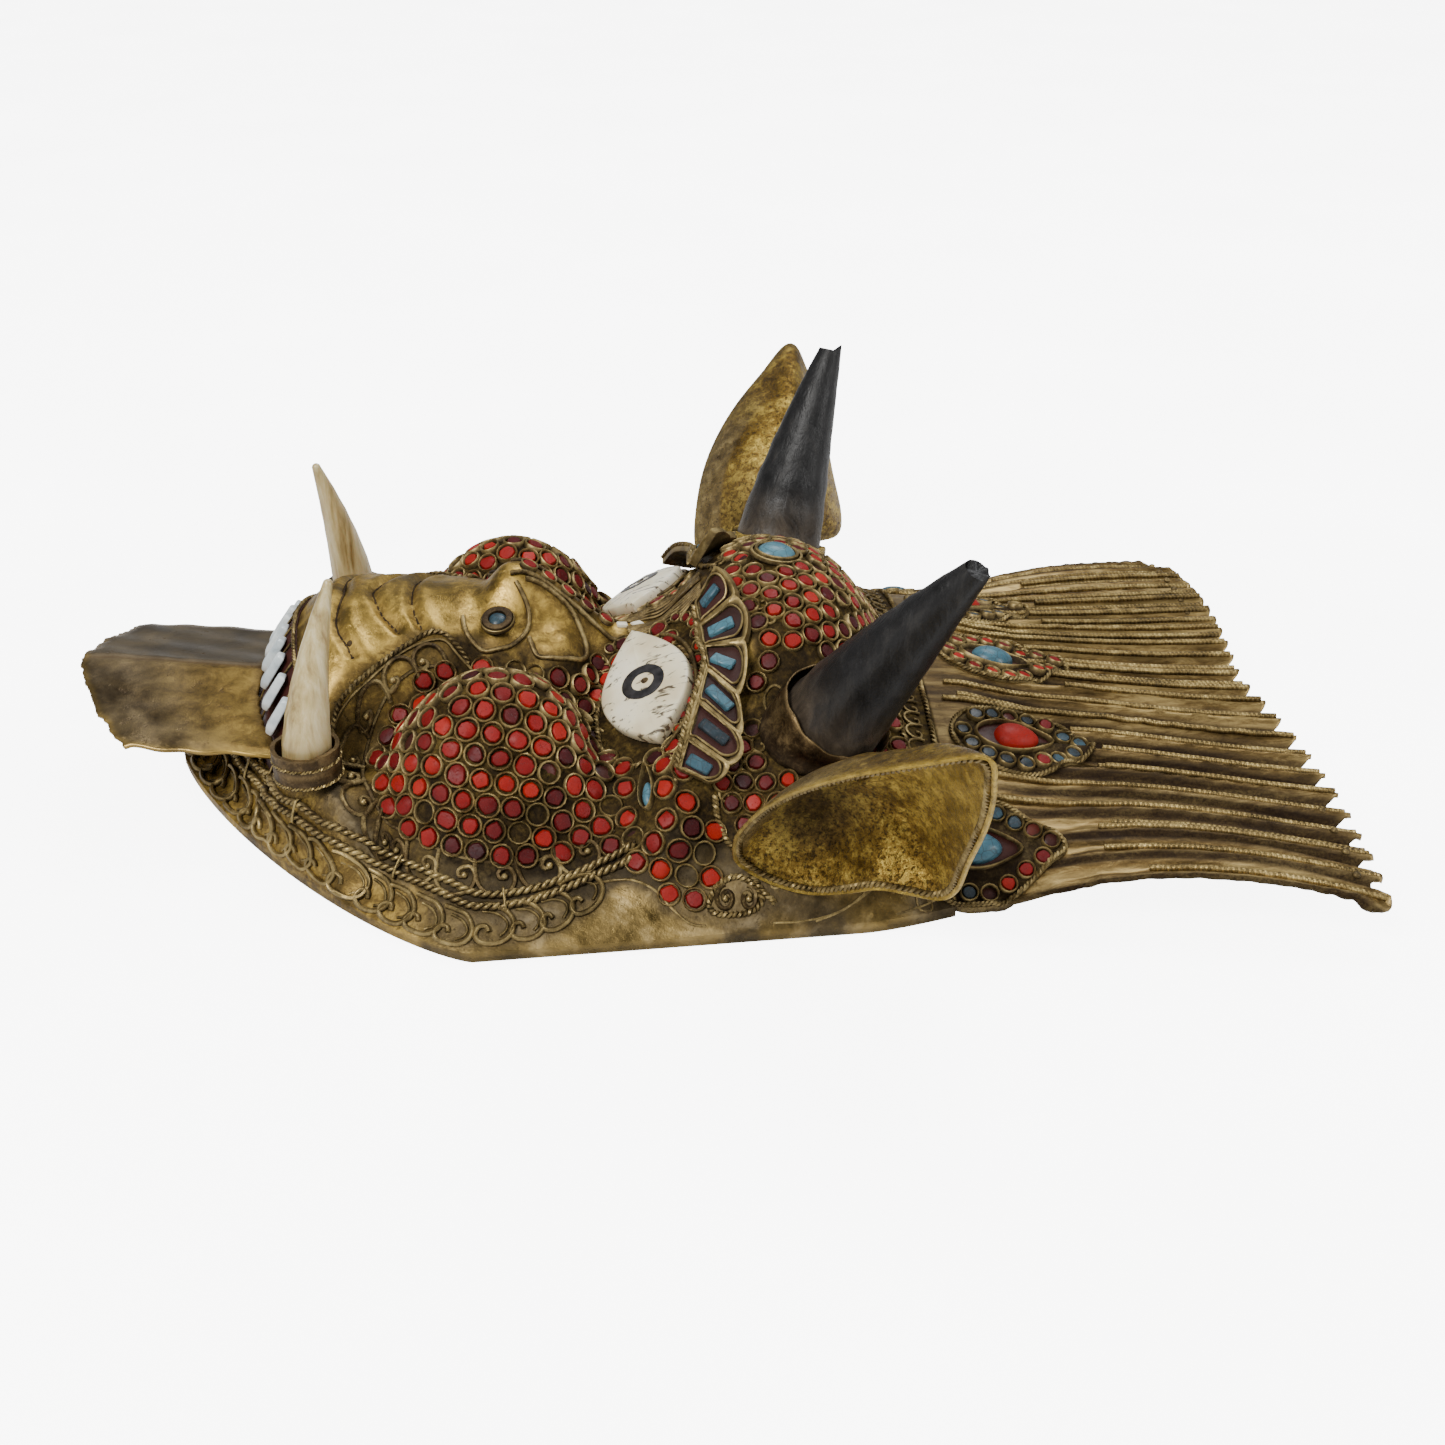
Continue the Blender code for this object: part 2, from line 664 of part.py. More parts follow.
def build_eye(side_name, material):
    """A thick almond plate of bone, slightly domed, lying in its bed."""
    side = SIDES[side_name]
    centre = landmark(EYE, side)
    along = Vector((math.cos(EYE_TILT_ALONG), 0.0, math.sin(EYE_TILT_ALONG)))
    across = Vector((0.0, side * math.cos(EYE_TILT_ACROSS), -math.sin(EYE_TILT_ACROSS)))
    up = along.cross(across).normalized()
    if up.z < 0:
        up = -up
    across = up.cross(along) if side < 0 else along.cross(up)
    count = 20
    shape = bmesh.new()
    loops = []
    for scale, depth in ((1.0, -EYE_THICKNESS), (1.0, -EYE_DOME), (0.86, -0.0001), (0.45, EYE_DOME)):
        loop = []
        for i in range(count):
            turn = 2.0 * math.pi * i / count
            far = math.cos(turn)
            wide = math.copysign(1.0 - abs(far) ** EYE_POINT, math.sin(turn))
            swell = 1.0 - EYE_LEAN * far
            place = centre + across * (far * EYE_LENGTH * 0.5 * scale)
            place = place + along * (wide * swell * EYE_WIDTH * 0.5 * scale) + up * depth
            loop.append(shape.verts.new(place))
        loops.append(loop)
    cap_and_close(shape, loops)
    return add_object("eye_" + side_name, shape, material)


def build_brow(side_name, face_skin, material):
    """A standing flame shaped plate with a scalloped outer edge."""
    side = SIDES[side_name]
    steps = BROW_CELLS * 3
    shape = bmesh.new()
    rings = []
    for step in range(steps + 1):
        share = step / steps
        inner = landmark(curve_point(BROW_INNER, share), side)
        outer = landmark(curve_point(BROW_OUTER, share), side)
        width = (outer - inner).normalized()
        lobe = abs(math.sin(math.pi * BROW_CELLS * share))
        outer = outer + width * (BROW_SCALLOP * (lobe - 1.0))
        ahead = landmark(curve_point(BROW_INNER, clamp(share + 0.04)), side)
        behind = landmark(curve_point(BROW_INNER, clamp(share - 0.04)), side)
        face = (ahead - behind).cross(width).normalized()
        if face.z < 0:
            face = -face
        rings.append([inner, inner + face * BROW_THICKNESS, outer + face * BROW_THICKNESS, outer])
    feet = [mix(ring[0], ring[3], share) for ring in rings for share in (0.0, 0.2, 0.4, 0.6, 0.8, 1.0)]
    lift = Vector((0.0, 0.0, max(lift_clear((face_skin,), feet, Vector((0.0, 0.0, 1.0))), 0.0)))
    cap_and_close(shape, [[shape.verts.new(corner + lift) for corner in ring] for ring in rings])
    return add_object("brow_" + side_name, shape, material)


def build_horn(side_name, face_skin, horn_material, collar_material):
    """A dark horn standing in a brass collar."""
    side = SIDES[side_name]
    lean = HORN_LEAN[side_name]
    axis = Vector((lean[0], side * lean[1], lean[2])).normalized()
    seat = HORN_SEAT[side_name]
    place, _ = drop_on((face_skin,), seat[0] * FACE_LENGTH, side * seat[1] * FACE_HALF_WIDTH)
    sides = 12
    root = place + axis * (GAP + lift_clear((face_skin,), disc_points(place, axis, HORN_BASE_RADIUS, sides), axis))
    sway = Vector((HORN_BOW, 0.0, -HORN_BOW))
    horn = build_spike("horn_" + side_name, root, axis, HORN_LENGTH, (HORN_BASE_RADIUS, HORN_TIP_RADIUS),
                       sway, sides, 6, horn_material, 1.25)
    collar = build_collar("horn_collar_" + side_name, root + axis * HORN_STAND, axis,
                          HORN_BASE_RADIUS + COLLAR_ROOM, COLLAR_WALL, sides + 2, (face_skin,), collar_material)
    return horn, collar


def build_tusk(side_name, face_skin, bone, brass):
    """A bone tusk standing in a brass cup at the corner of the mouth."""
    side = SIDES[side_name]
    axis = Vector((0.0, 0.0, 1.0))
    sway = Vector((TUSK_SWAY[side_name][0], side * TUSK_SWAY[side_name][1], 0.0))
    place, _ = drop_on((face_skin,), MOUTH_CORNER[0] * FACE_LENGTH, side * MOUTH_CORNER[1] * FACE_HALF_WIDTH)
    sides = 12
    inner = TUSK_BASE_RADIUS + CUP_ROOM
    low = place + axis * lift_clear((face_skin,), disc_points(place, axis, inner + CUP_WALL, sides), axis)
    cup = build_cup("tusk_cup_" + side_name, low, axis, inner, sides, brass)
    tusk = build_spike("tusk_" + side_name, low + axis * (CUP_FLOOR + GAP), axis, TUSK_LENGTH,
                       (TUSK_BASE_RADIUS, TUSK_TIP_RADIUS), sway, sides, 6, bone, 1.5)
    return tusk, cup


def build_ear(side_name, face_skin, material):
    """A scoop of sheet brass, open outwards, whose root lies against the side of the head."""
    side = SIDES[side_name]
    lean = EAR_LEAN[side_name]
    spread = EAR_SPREAD[side_name]
    length_way = Vector((lean[0], side * lean[1], lean[2])).normalized()
    width_way = Vector((spread[0], side * spread[1], spread[2]))
    width_way = (width_way - length_way * width_way.dot(length_way)).normalized()
    depth_way = length_way.cross(width_way)
    if depth_way.y * side > 0:
        depth_way = -depth_way
    root, _ = drop_on((face_skin,), EAR_ROOT[0] * FACE_LENGTH, side * EAR_ROOT[1] * FACE_HALF_WIDTH)
    away = Vector((0.0, side * 0.88, 0.48))
    heart = root + (length_way * EAR_HEART[0] + width_way * EAR_HEART[1]) * EAR_LENGTH
    rings = []
    for scale in (1.0, 0.82, 0.55, 0.24):
        sink = depth_way * (EAR_DEPTH * (1.0 - scale ** 2.4))
        edges = [root + (length_way * far + width_way * wide) * EAR_LENGTH for far, wide in EAR_RIM]
        rings.append([heart + (edge - heart) * scale + sink for edge in edges])
    feet = [mix(p, q, share) for ring in rings for p, q in zip(ring, ring[1:] + ring[:1]) for share in (0.0, 0.5)]
    lift = away * (lift_clear((face_skin,), feet, away) + EAR_STAND)
    shape = bmesh.new()
    loops = [[shape.verts.new(place + lift) for place in ring] for ring in rings]
    count = len(EAR_RIM)
    for outer, inner in zip(loops, loops[1:]):
        for i in range(count):
            j = (i + 1) % count
            shape.faces.new((outer[i], outer[j], inner[j], inner[i]))
    bottom = shape.verts.new(heart + depth_way * EAR_DEPTH + lift)
    last = loops[-1]
    for i in range(count):
        shape.faces.new((last[i], last[(i + 1) % count], bottom))
    bmesh.ops.recalc_face_normals(shape, faces=shape.faces)
    shape.normal_update()
    if bottom.normal.dot(depth_way) > 0:
        bmesh.ops.reverse_faces(shape, faces=shape.faces)
    thing = add_object("ear_" + side_name, shape, material)
    add_wall(thing, EAR_SHEET)
    return thing


def build_stone(name, skins, x, y, size, material):
    """An oval cabochon, flat below and domed above, lying on the sheet."""
    place, normal = drop_on(skins, x, y)
    up = normal.normalized()
    first, second = square_frame(up)
    count = 12
    foot = [place + first * (size[0] * math.cos(0.5 * i)) + second * (size[1] * math.sin(0.5 * i)) for i in range(13)]
    place = place + up * lift_clear(skins, foot + [place], up)
    shape = bmesh.new()
    loops = []
    for scale, rise in ((1.0, 0.0), (1.0, 0.45), (0.82, 0.8), (0.4, 1.0)):
        loop = []
        for i in range(count):
            turn = 2.0 * math.pi * i / count
            out = first * (math.cos(turn) * size[0] * scale) + second * (math.sin(turn) * size[1] * scale)
            loop.append(shape.verts.new(place + out + up * (size[2] * rise)))
        loops.append(loop)
    cap_and_close(shape, loops)
    return add_object(name, shape, material)


def build_leaf(name, centre_x, centre_y, skins, material):
    """A pointed teardrop plate that lies over the root of the hair and follows its slope."""
    reach = LEAF_LENGTH * 0.35
    breadth = LEAF_WIDTH * 0.35
    ahead = drop_on(skins, centre_x + reach, centre_y)[0]
    behind = drop_on(skins, centre_x - reach, centre_y)[0]
    upper = drop_on(skins, centre_x, centre_y + breadth)[0]
    lower = drop_on(skins, centre_x, centre_y - breadth)[0]
    along = (ahead - behind).normalized()
    up = along.cross(upper - lower).normalized()
    across = up.cross(along)
    centre = (ahead + behind) * 0.5
    outline = []
    for i in range(LEAF_SIDES):
        turn = 2.0 * math.pi * i / LEAF_SIDES
        far = math.cos(turn)
        point = 1.0 if far < 0.0 else 1.0 + LEAF_POINT * far ** 3
        narrow = 1.0 if far < 0.0 else 1.0 - LEAF_NARROW * far ** 2
        outline.append(centre + along * (far * point * LEAF_LENGTH * 0.5 / (1.0 + 0.5 * LEAF_POINT))
                       + across * (math.sin(turn) * narrow * LEAF_WIDTH * 0.5))
    feet = [mix(centre, edge, share) for edge in outline for share in (0.25, 0.5, 0.75, 1.0)]
    lift = up * (lift_clear(skins, feet, up) + LEAF_STAND)
    shape = bmesh.new()
    rings = [[shape.verts.new(edge + lift + up * rise) for edge in outline] for rise in (0.0, LEAF_THICKNESS)]
    cap_and_close(shape, rings)
    return add_object(name, shape, material)


def centre_over_origin():
    """Move everything so that the middle of the mask's footprint is at the origin, on the floor."""
    graph = bpy.context.evaluated_depsgraph_get()
    low = Vector((1e9, 1e9, 1e9))
    high = -low
    for thing in bpy.data.objects:
        for vert in thing.evaluated_get(graph).data.vertices:
            place = thing.matrix_world @ vert.co
            for axis in range(3):
                low[axis] = min(low[axis], place[axis])
                high[axis] = max(high[axis], place[axis])
    shift = Vector((-(low.x + high.x) * 0.5, -(low.y + high.y) * 0.5, -low.z))
    for thing in bpy.data.objects:
        thing.location = thing.location + shift


def main():
    clear_scene()
    brass = finish_of("aged brass", BRASS)
    ear_brass = finish_of("ear brass", BRASS_EAR)
    hair_brass = finish_of("hair brass", HAIR_BRASS)
    tongue_brass = finish_of("tongue brass", TONGUE_BRASS)
    bone = finish_of("bone", BONE)
    black = finish_of("dark horn", HORN_BLACK)
    white = finish_of("tooth white", TOOTH_WHITE)
    blue = finish_of("turquoise", TURQUOISE)
    red = finish_of("coral", CORAL)

    _, face_skin = build_face(brass)
    _, hair_skin = build_hair(hair_brass)
    _, tongue_skin = build_tongue(face_skin, tongue_brass)
    for index in range(TEETH_COUNT):
        build_tooth(index, face_skin, tongue_skin, white)
    for side_name, side in SIDES.items():
        build_eye(side_name, bone)
        build_brow(side_name, face_skin, brass)
        build_horn(side_name, face_skin, black, brass)
        build_tusk(side_name, face_skin, bone, brass)
        build_ear(side_name, face_skin, ear_brass)
        build_stone("nostril_stone_" + side_name, (face_skin,), NOSTRIL[0] * FACE_LENGTH,
                    side * NOSTRIL[1] * FACE_HALF_WIDTH, NOSTRIL_STONE, blue)
    build_stone("forehead_stone", (face_skin,), STONE_SEAT * FACE_LENGTH, 0.0, FOREHEAD_STONE, blue)
    hair_half = half_width(1.0) * FACE_HALF_WIDTH
    for number, (far, wide) in enumerate(LEAF_SEATS):
        x = FACE_LENGTH + GAP + far * HAIR_LENGTH
        if wide == 0.0:
            build_leaf("leaf_setting_middle", x, 0.0, (face_skin, hair_skin), red)
            continue
        for side_name, side in SIDES.items():
            build_leaf("leaf_setting_%s_%d" % (side_name, number), x, side * wide * hair_half,
                       (face_skin, hair_skin), red)
    bpy.context.view_layer.update()
    centre_over_origin()


main()
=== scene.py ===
"""The horned beast mask with its filigree, stones, bone, horn and aged brass, lying face up."""
import math
import random
from math import cos, hypot, pi, radians, sin

import bmesh
import bpy
import numpy as np
from mathutils import Matrix, Vector
from mathutils.bvhtree import BVHTree

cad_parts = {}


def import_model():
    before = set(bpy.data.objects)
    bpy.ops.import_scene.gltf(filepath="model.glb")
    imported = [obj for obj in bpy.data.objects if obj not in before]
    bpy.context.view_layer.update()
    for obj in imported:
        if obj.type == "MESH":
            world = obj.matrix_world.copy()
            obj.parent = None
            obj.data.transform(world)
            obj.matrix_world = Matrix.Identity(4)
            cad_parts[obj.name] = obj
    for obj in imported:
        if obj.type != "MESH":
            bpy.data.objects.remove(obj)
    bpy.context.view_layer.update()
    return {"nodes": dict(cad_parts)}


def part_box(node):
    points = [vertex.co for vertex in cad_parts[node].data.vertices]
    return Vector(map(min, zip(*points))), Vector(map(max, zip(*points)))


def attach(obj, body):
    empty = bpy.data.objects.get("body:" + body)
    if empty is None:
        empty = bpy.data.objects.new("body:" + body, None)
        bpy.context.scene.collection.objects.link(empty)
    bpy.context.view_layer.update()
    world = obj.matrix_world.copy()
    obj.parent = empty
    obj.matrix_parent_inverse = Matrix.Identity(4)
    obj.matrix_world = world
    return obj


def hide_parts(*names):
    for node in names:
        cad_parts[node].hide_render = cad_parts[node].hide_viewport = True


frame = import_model()

MM = 0.001
BODY = "root"
SEED = 7


def box_of(name):
    """The lowest and the highest corner of a CAD node."""
    return [Vector(corner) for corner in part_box(name)]


FACE_BOX = box_of("face_shell")
# Places on the face are given in millimetres from a point on the floor under the brows
ZERO = Vector((box_of("hair_fan")[0].x - 50.3 * MM, (FACE_BOX[0].y + FACE_BOX[1].y) / 2, 0.0))
FACE_START = -144.0
FACE_END = 50.0
HALF_WIDTH = 87.0
JAW_CORNER = -62.0
JAW_POWER = 1.28
SHEET = 1.2 * MM
NO_STRETCH = (1.0, 1.0, 1.0)


def world(x, y, z=0.0):
    """A place in the row frame from millimetres on the face."""
    return ZERO + Vector((x, y, z)) * MM


def on_plan(spot):
    """Millimetres on the face of a place in the row frame."""
    return (spot[0] - ZERO.x) / MM, (spot[1] - ZERO.y) / MM


def mix(low, high, share):
    return low + (high - low) * share


def clamp(value, low=0.0, high=1.0):
    return max(low, min(high, value))


def ease(value):
    value = clamp(value)
    return value * value * (3 - 2 * value)


# Node groups and materials

class Paint:
    """A short way to write a material's nodes."""

    def __init__(self, name, group=False):
        if group:
            self.tree = bpy.data.node_groups.new(name, "ShaderNodeTree")
        else:
            self.material = bpy.data.materials.new(name)
            self.material.use_nodes = True
            self.tree = self.material.node_tree
            self.shader = self.tree.nodes["Principled BSDF"]

    def node(self, kind, **values):
        made = self.tree.nodes.new(kind)
        for key, value in values.items():
            setattr(made, key, value)
        return made

    def link(self, source, target):
        self.tree.links.new(source, target)

    def set(self, target, value):
        if isinstance(value, bpy.types.NodeSocket):
            self.link(value, target)
        elif isinstance(value, tuple) and len(value) == 3:
            target.default_value = (*value, 1.0)
        else:
            target.default_value = value

    def attribute(self, name):
        return self.node("ShaderNodeAttribute", attribute_name=name).outputs["Fac"]

    def place(self, scale=NO_STRETCH):
        coordinates = self.node("ShaderNodeTexCoord").outputs["Object"]
        if scale == NO_STRETCH:
            return coordinates
        mapping = self.node("ShaderNodeMapping")
        if isinstance(scale, bpy.types.NodeSocket):
            self.link(scale, mapping.inputs["Scale"])
        else:
            mapping.inputs["Scale"].default_value = scale
        self.link(coordinates, mapping.inputs["Vector"])
        return mapping.outputs["Vector"]

    def noise(self, scale, detail=4.0, rough=0.55, stretch=NO_STRETCH, distortion=0.0):
        made = self.node("ShaderNodeTexNoise")
        self.link(self.place(stretch), made.inputs["Vector"])
        for label, value in zip(("Scale", "Detail", "Roughness", "Distortion"),
                                (scale, detail, rough, distortion)):
            self.set(made.inputs[label], value)
        return made.outputs["Fac"]

    def bands(self, length):
        """Narrow stripes across the length of the mask, that many metres apart."""
        made = self.node("ShaderNodeTexWave", bands_direction="X")
        self.link(self.place(), made.inputs["Vector"])
        made.inputs["Scale"].default_value = pi / 10 / length
        return made.outputs["Fac"]

    def cracks(self, scale):
        """Distance from the cracks between cells."""
        made = self.node("ShaderNodeTexVoronoi", feature="DISTANCE_TO_EDGE")
        self.link(self.place(), made.inputs["Vector"])
        made.inputs["Scale"].default_value = scale
        return made.outputs["Distance"]

    def span(self, value, low, high, to_low=0.0, to_high=1.0):
        made = self.node("ShaderNodeMapRange")
        self.set(made.inputs["Value"], value)
        for key, number in zip(("From Min", "From Max", "To Min", "To Max"), (low, high, to_low, to_high)):
            made.inputs[key].default_value = number
        return made.outputs["Result"]

    def sum(self, first, second, kind="ADD"):
        made = self.node("ShaderNodeMath", operation=kind)
        self.set(made.inputs[0], first)
        self.set(made.inputs[1], second)
        return made.outputs[0]

    def times(self, first, second):
        return self.sum(first, second, "MULTIPLY")

    def less(self, first, second):
        return self.sum(first, second, "SUBTRACT")

    def blend(self, share, first, second):
        made = self.node("ShaderNodeMix", data_type="RGBA", blend_type="MIX")
        self.set(made.inputs[0], share)
        self.set(made.inputs[6], first)
        self.set(made.inputs[7], second)
        return made.outputs[2]

    def ramp(self, value, stops):
        made = self.node("ShaderNodeValToRGB")
        self.link(value, made.inputs["Fac"])
        points = made.color_ramp.elements
        while len(points) < len(stops):
            points.new(0.5)
        for point, (place, colour) in zip(points, stops):
            point.position = place
            point.color = (*colour, 1.0)
        return made.outputs["Color"]

    def bump(self, height, strength, distance):
        made = self.node("ShaderNodeBump")
        made.inputs["Strength"].default_value = strength
        made.inputs["Distance"].default_value = distance
        self.link(height, made.inputs["Height"])
        return made.outputs["Normal"]

    def effect(self, group, **values):
        """Place a shared node group, give its inputs their values and return its outputs."""
        made = self.node("ShaderNodeGroup", node_tree=group)
        for label, value in values.items():
            if label == "Stretch":
                made.inputs[label].default_value = value
            else:
                self.set(made.inputs[label.replace("_", " ")], value)
        return made.outputs

    def streaks(self, scale, detail, rough, stretch, distortion):
        return self.effect(GRAIN, Scale=scale, Detail=detail, Roughness=rough, Stretch=stretch,
                           Distortion=distortion)["Streak"]

    # Lays a darker colour where a mask is high: for real spots, pits and patina, and for painted shade in
    # recesses and at the feet of parts.
    def dirtied(self, colour, grime, mask, amount):
        return self.effect(DIRT, Colour=colour, Grime=grime, Mask=mask, Amount=amount)["Colour"]

    def finish(self, **values):
        for name, value in values.items():
            self.set(self.shader.inputs[name.replace("_", " ")], value)
        return self.material


def srgb(red, green, blue):
    """A colour as the eye reads it, from 0 to 255."""
    result = []
    for value in (red, green, blue):
        value /= 255
        result.append(value / 12.92 if value <= 0.04045 else ((value + 0.055) / 1.055) ** 2.4)
    return tuple(result)


def shared_effect(name, inputs, outputs):
    """An empty node group with named sockets, and its sockets to build between."""
    p = Paint(name, group=True)
    for labels, way in ((inputs, "INPUT"), (outputs, "OUTPUT")):
        for label, kind in labels:
            p.tree.interface.new_socket(label, in_out=way, socket_type="NodeSocket" + kind)
    return p, p.node("NodeGroupInput").outputs, p.node("NodeGroupOutput").inputs


def dirt_effect():
    """A darker colour laid over the colour below where a mask is high: real spots and patina, and also
    painted shade in recesses and at the feet of parts.
    """
    inputs = (("Colour", "Color"), ("Grime", "Color"), ("Mask", "Float"), ("Amount", "Float"))
    p, given, out = shared_effect("dirt", inputs, (("Colour", "Color"),))
    share = p.times(given["Mask"], given["Amount"])
    p.link(p.blend(share, given["Colour"], given["Grime"]), out["Colour"])
    return p.tree


def wear_effect():
    """Bright metal where hands rub the high places, broken up by the patches; on the ears the same mask also
    brightens the part that faces the light, a painted highlight.
    """
    inputs = (("Colour", "Color"), ("Bright", "Color"), ("Rubbed", "Float"), ("Patches", "Float"))
    p, given, out = shared_effect("edge wear", inputs, (("Colour", "Color"),))
    edge = p.times(given["Rubbed"], p.span(given["Patches"], 0.25, 0.65, 0.35, 1.0))
    p.link(p.blend(p.times(edge, 0.7), given["Colour"], given["Bright"]), out["Colour"])
    return p.tree


def metal_effect():
    """Aged sheet metal: three tones in clouds and flakes, dark spots, and the height of its pitted skin."""
    inputs = (("Dark", "Color"), ("Middle", "Color"), ("Bright", "Color"), ("Grain", "Float"),
              ("Pits", "Float"), ("Spotted", "Float"), ("Stretch", "Vector"))
    outputs = (("Colour", "Color"), ("Patches", "Float"), ("Fine", "Float"), ("Spots", "Float"),
               ("Height", "Float"))
    p, given, out = shared_effect("aged metal", inputs, outputs)

    def grown(scale):
        return p.times(given["Grain"], scale)

    clouds = p.noise(grown(38.0), 6.0, 0.62, given["Stretch"])
    patches = p.noise(grown(120.0), 5.0, 0.6, given["Stretch"], distortion=0.4)
    fine = p.noise(grown(900.0), 3.0, 0.7)
    flakes = p.noise(grown(290.0), 8.0, 0.8, given["Stretch"], distortion=0.6)
    tone = p.sum(p.times(p.span(clouds, 0.3, 0.7), 0.36),
                 p.times(p.span(patches, 0.3, 0.72), 0.30))
    tone = p.sum(tone, p.times(p.span(flakes, 0.34, 0.66), 0.34))
    colour = p.blend(p.span(tone, 0.28, 0.48), given["Dark"], given["Middle"])
    colour = p.blend(p.span(tone, 0.48, 0.70), colour, given["Bright"])
    spots = p.span(p.less(p.noise(grown(420.0), 4.0, 0.75), given["Spotted"]), 0.0, 0.10)
    height = p.sum(p.times(clouds, 0.6), p.times(p.times(fine, 0.12), given["Pits"]))
    height = p.sum(height, p.times(p.times(spots, -0.15), given["Pits"]))
    for (label, _), value in zip(outputs, (colour, patches, fine, spots, height)):
        p.link(value, out[label])
    return p.tree


def grain_effect():
    """Long streaks, as bone and horn have along their growth."""
    inputs = (("Scale", "Float"), ("Detail", "Float"), ("Roughness", "Float"), ("Stretch", "Vector"),
              ("Distortion", "Float"))
    p, given, out = shared_effect("grain", inputs, (("Streak", "Float"),))
    p.link(p.noise(*(given[label] for label, _ in inputs)), out["Streak"])
    return p.tree


def skin_effect():
    """The cloudy tone and the pits of a small cut stone."""
    p, given, out = shared_effect("stone skin", (("Cloud Scale", "Float"), ("Pit Scale", "Float")),
                                  (("Cloud", "Float"), ("Pits", "Float")))
    p.link(p.noise(given["Cloud Scale"], 4.0, 0.6), out["Cloud"])
    p.link(p.span(p.noise(given["Pit Scale"], 3.0, 0.7), 0.60, 0.70), out["Pits"])
    return p.tree


DIRT = dirt_effect()
EDGE_WEAR = wear_effect()
AGED_METAL = metal_effect()
GRAIN = grain_effect()
STONE_SKIN = skin_effect()


def brass_paint(name, dark, middle, bright, rough=0.38, pits=1.0, grime=srgb(30, 21, 13), grain=1.0,
                stretch=NO_STRETCH, spotted=0.60, tin=None, milled=0.0):
    """Aged brass: three tones in cloudy patches, pits, painted shade with patina in the recesses, and worn
    high places, which on the ears also carry a painted highlight.
    """
    p = Paint(name)
    metal = p.effect(AGED_METAL, Dark=dark, Middle=middle, Bright=bright, Grain=grain, Pits=pits,
                     Spotted=spotted,
                     Stretch=stretch)
    colour, patches, spots, height = metal["Colour"], metal["Patches"], metal["Spots"], metal["Height"]
    if tin is not None:
        tinned = p.ramp(patches, ((0.3, tin[0]), (0.52, tin[1]), (0.72, tin[2])))
        colour = p.blend(p.attribute("tinned"), colour, tinned)
    colour = p.dirtied(colour, grime, spots, 0.65)
    hollow = p.attribute("hollow")
    rubbed = p.attribute("rubbed")
    colour = p.effect(EDGE_WEAR, Colour=colour, Bright=bright, Rubbed=rubbed, Patches=patches)["Colour"]
    # Painted shade with patina: the colour darkens where the shade-and-patina mask is high, broken up by fine
    # noise.
    dirt = p.times(hollow, p.span(metal["Fine"], 0.2, 0.8, 0.75, 1.1))
    if milled:
        cuts = p.bands(milled)
        # Painted shade in the milled cuts.
        dirt = p.sum(dirt, p.span(cuts, 0.0, 0.5, 0.24, 0.0))
        height = p.sum(height, p.times(cuts, 0.14))
    colour = p.dirtied(colour, grime, dirt, 0.93)
    roughness = p.sum(p.span(patches, 0.25, 0.75, rough - 0.1, rough + 0.16), p.times(hollow, 0.35))
    roughness = p.sum(roughness, p.times(spots, 0.12))
    shine = p.less(0.97, p.sum(p.times(hollow, 0.75), p.times(spots, 0.25)))
    return p.finish(Base_Color=colour, Roughness=roughness, Metallic=shine,
                    Normal=p.bump(height, 0.55, 0.0016),
                    Specular_IOR_Level=p.span(hollow, 0.0, 1.0, 0.45, 0.10))


def stone_paint(name, stops, rough, vein, speck, coat):
    """Small cut stones: each one's tone comes from its own attribute, with a worn, pitted skin."""
    p = Paint(name)
    skin = p.effect(STONE_SKIN, Cloud_Scale=260.0, Pit_Scale=1500.0)
    cloud, pits = skin["Cloud"], skin["Pits"]
    colour = p.ramp(p.sum(p.attribute("tone"), p.span(cloud, 0.3, 0.7, -0.09, 0.09)), stops)
    colour = p.dirtied(colour, srgb(60, 24, 20), pits, 0.55 * speck)
    if vein is not None:
        lines = p.span(p.cracks(330), 0.0, 0.06, 1.0, 0.0)
        colour = p.dirtied(colour, vein, lines, 0.5)
    # Painted shade with patina where the stone's mask is high.
    hollow = p.attribute("hollow")
    colour = p.dirtied(colour, srgb(38, 22, 16), hollow, 0.85)
    roughness = p.sum(p.span(cloud, 0.3, 0.7, rough - 0.08, rough + 0.15), p.times(hollow, 0.3))
    return p.finish(Base_Color=colour, Roughness=roughness, Coat_Weight=coat, Coat_Roughness=0.25,
                    Specular_IOR_Level=0.24, Normal=p.bump(p.less(cloud, pits), 0.35, 0.0006))


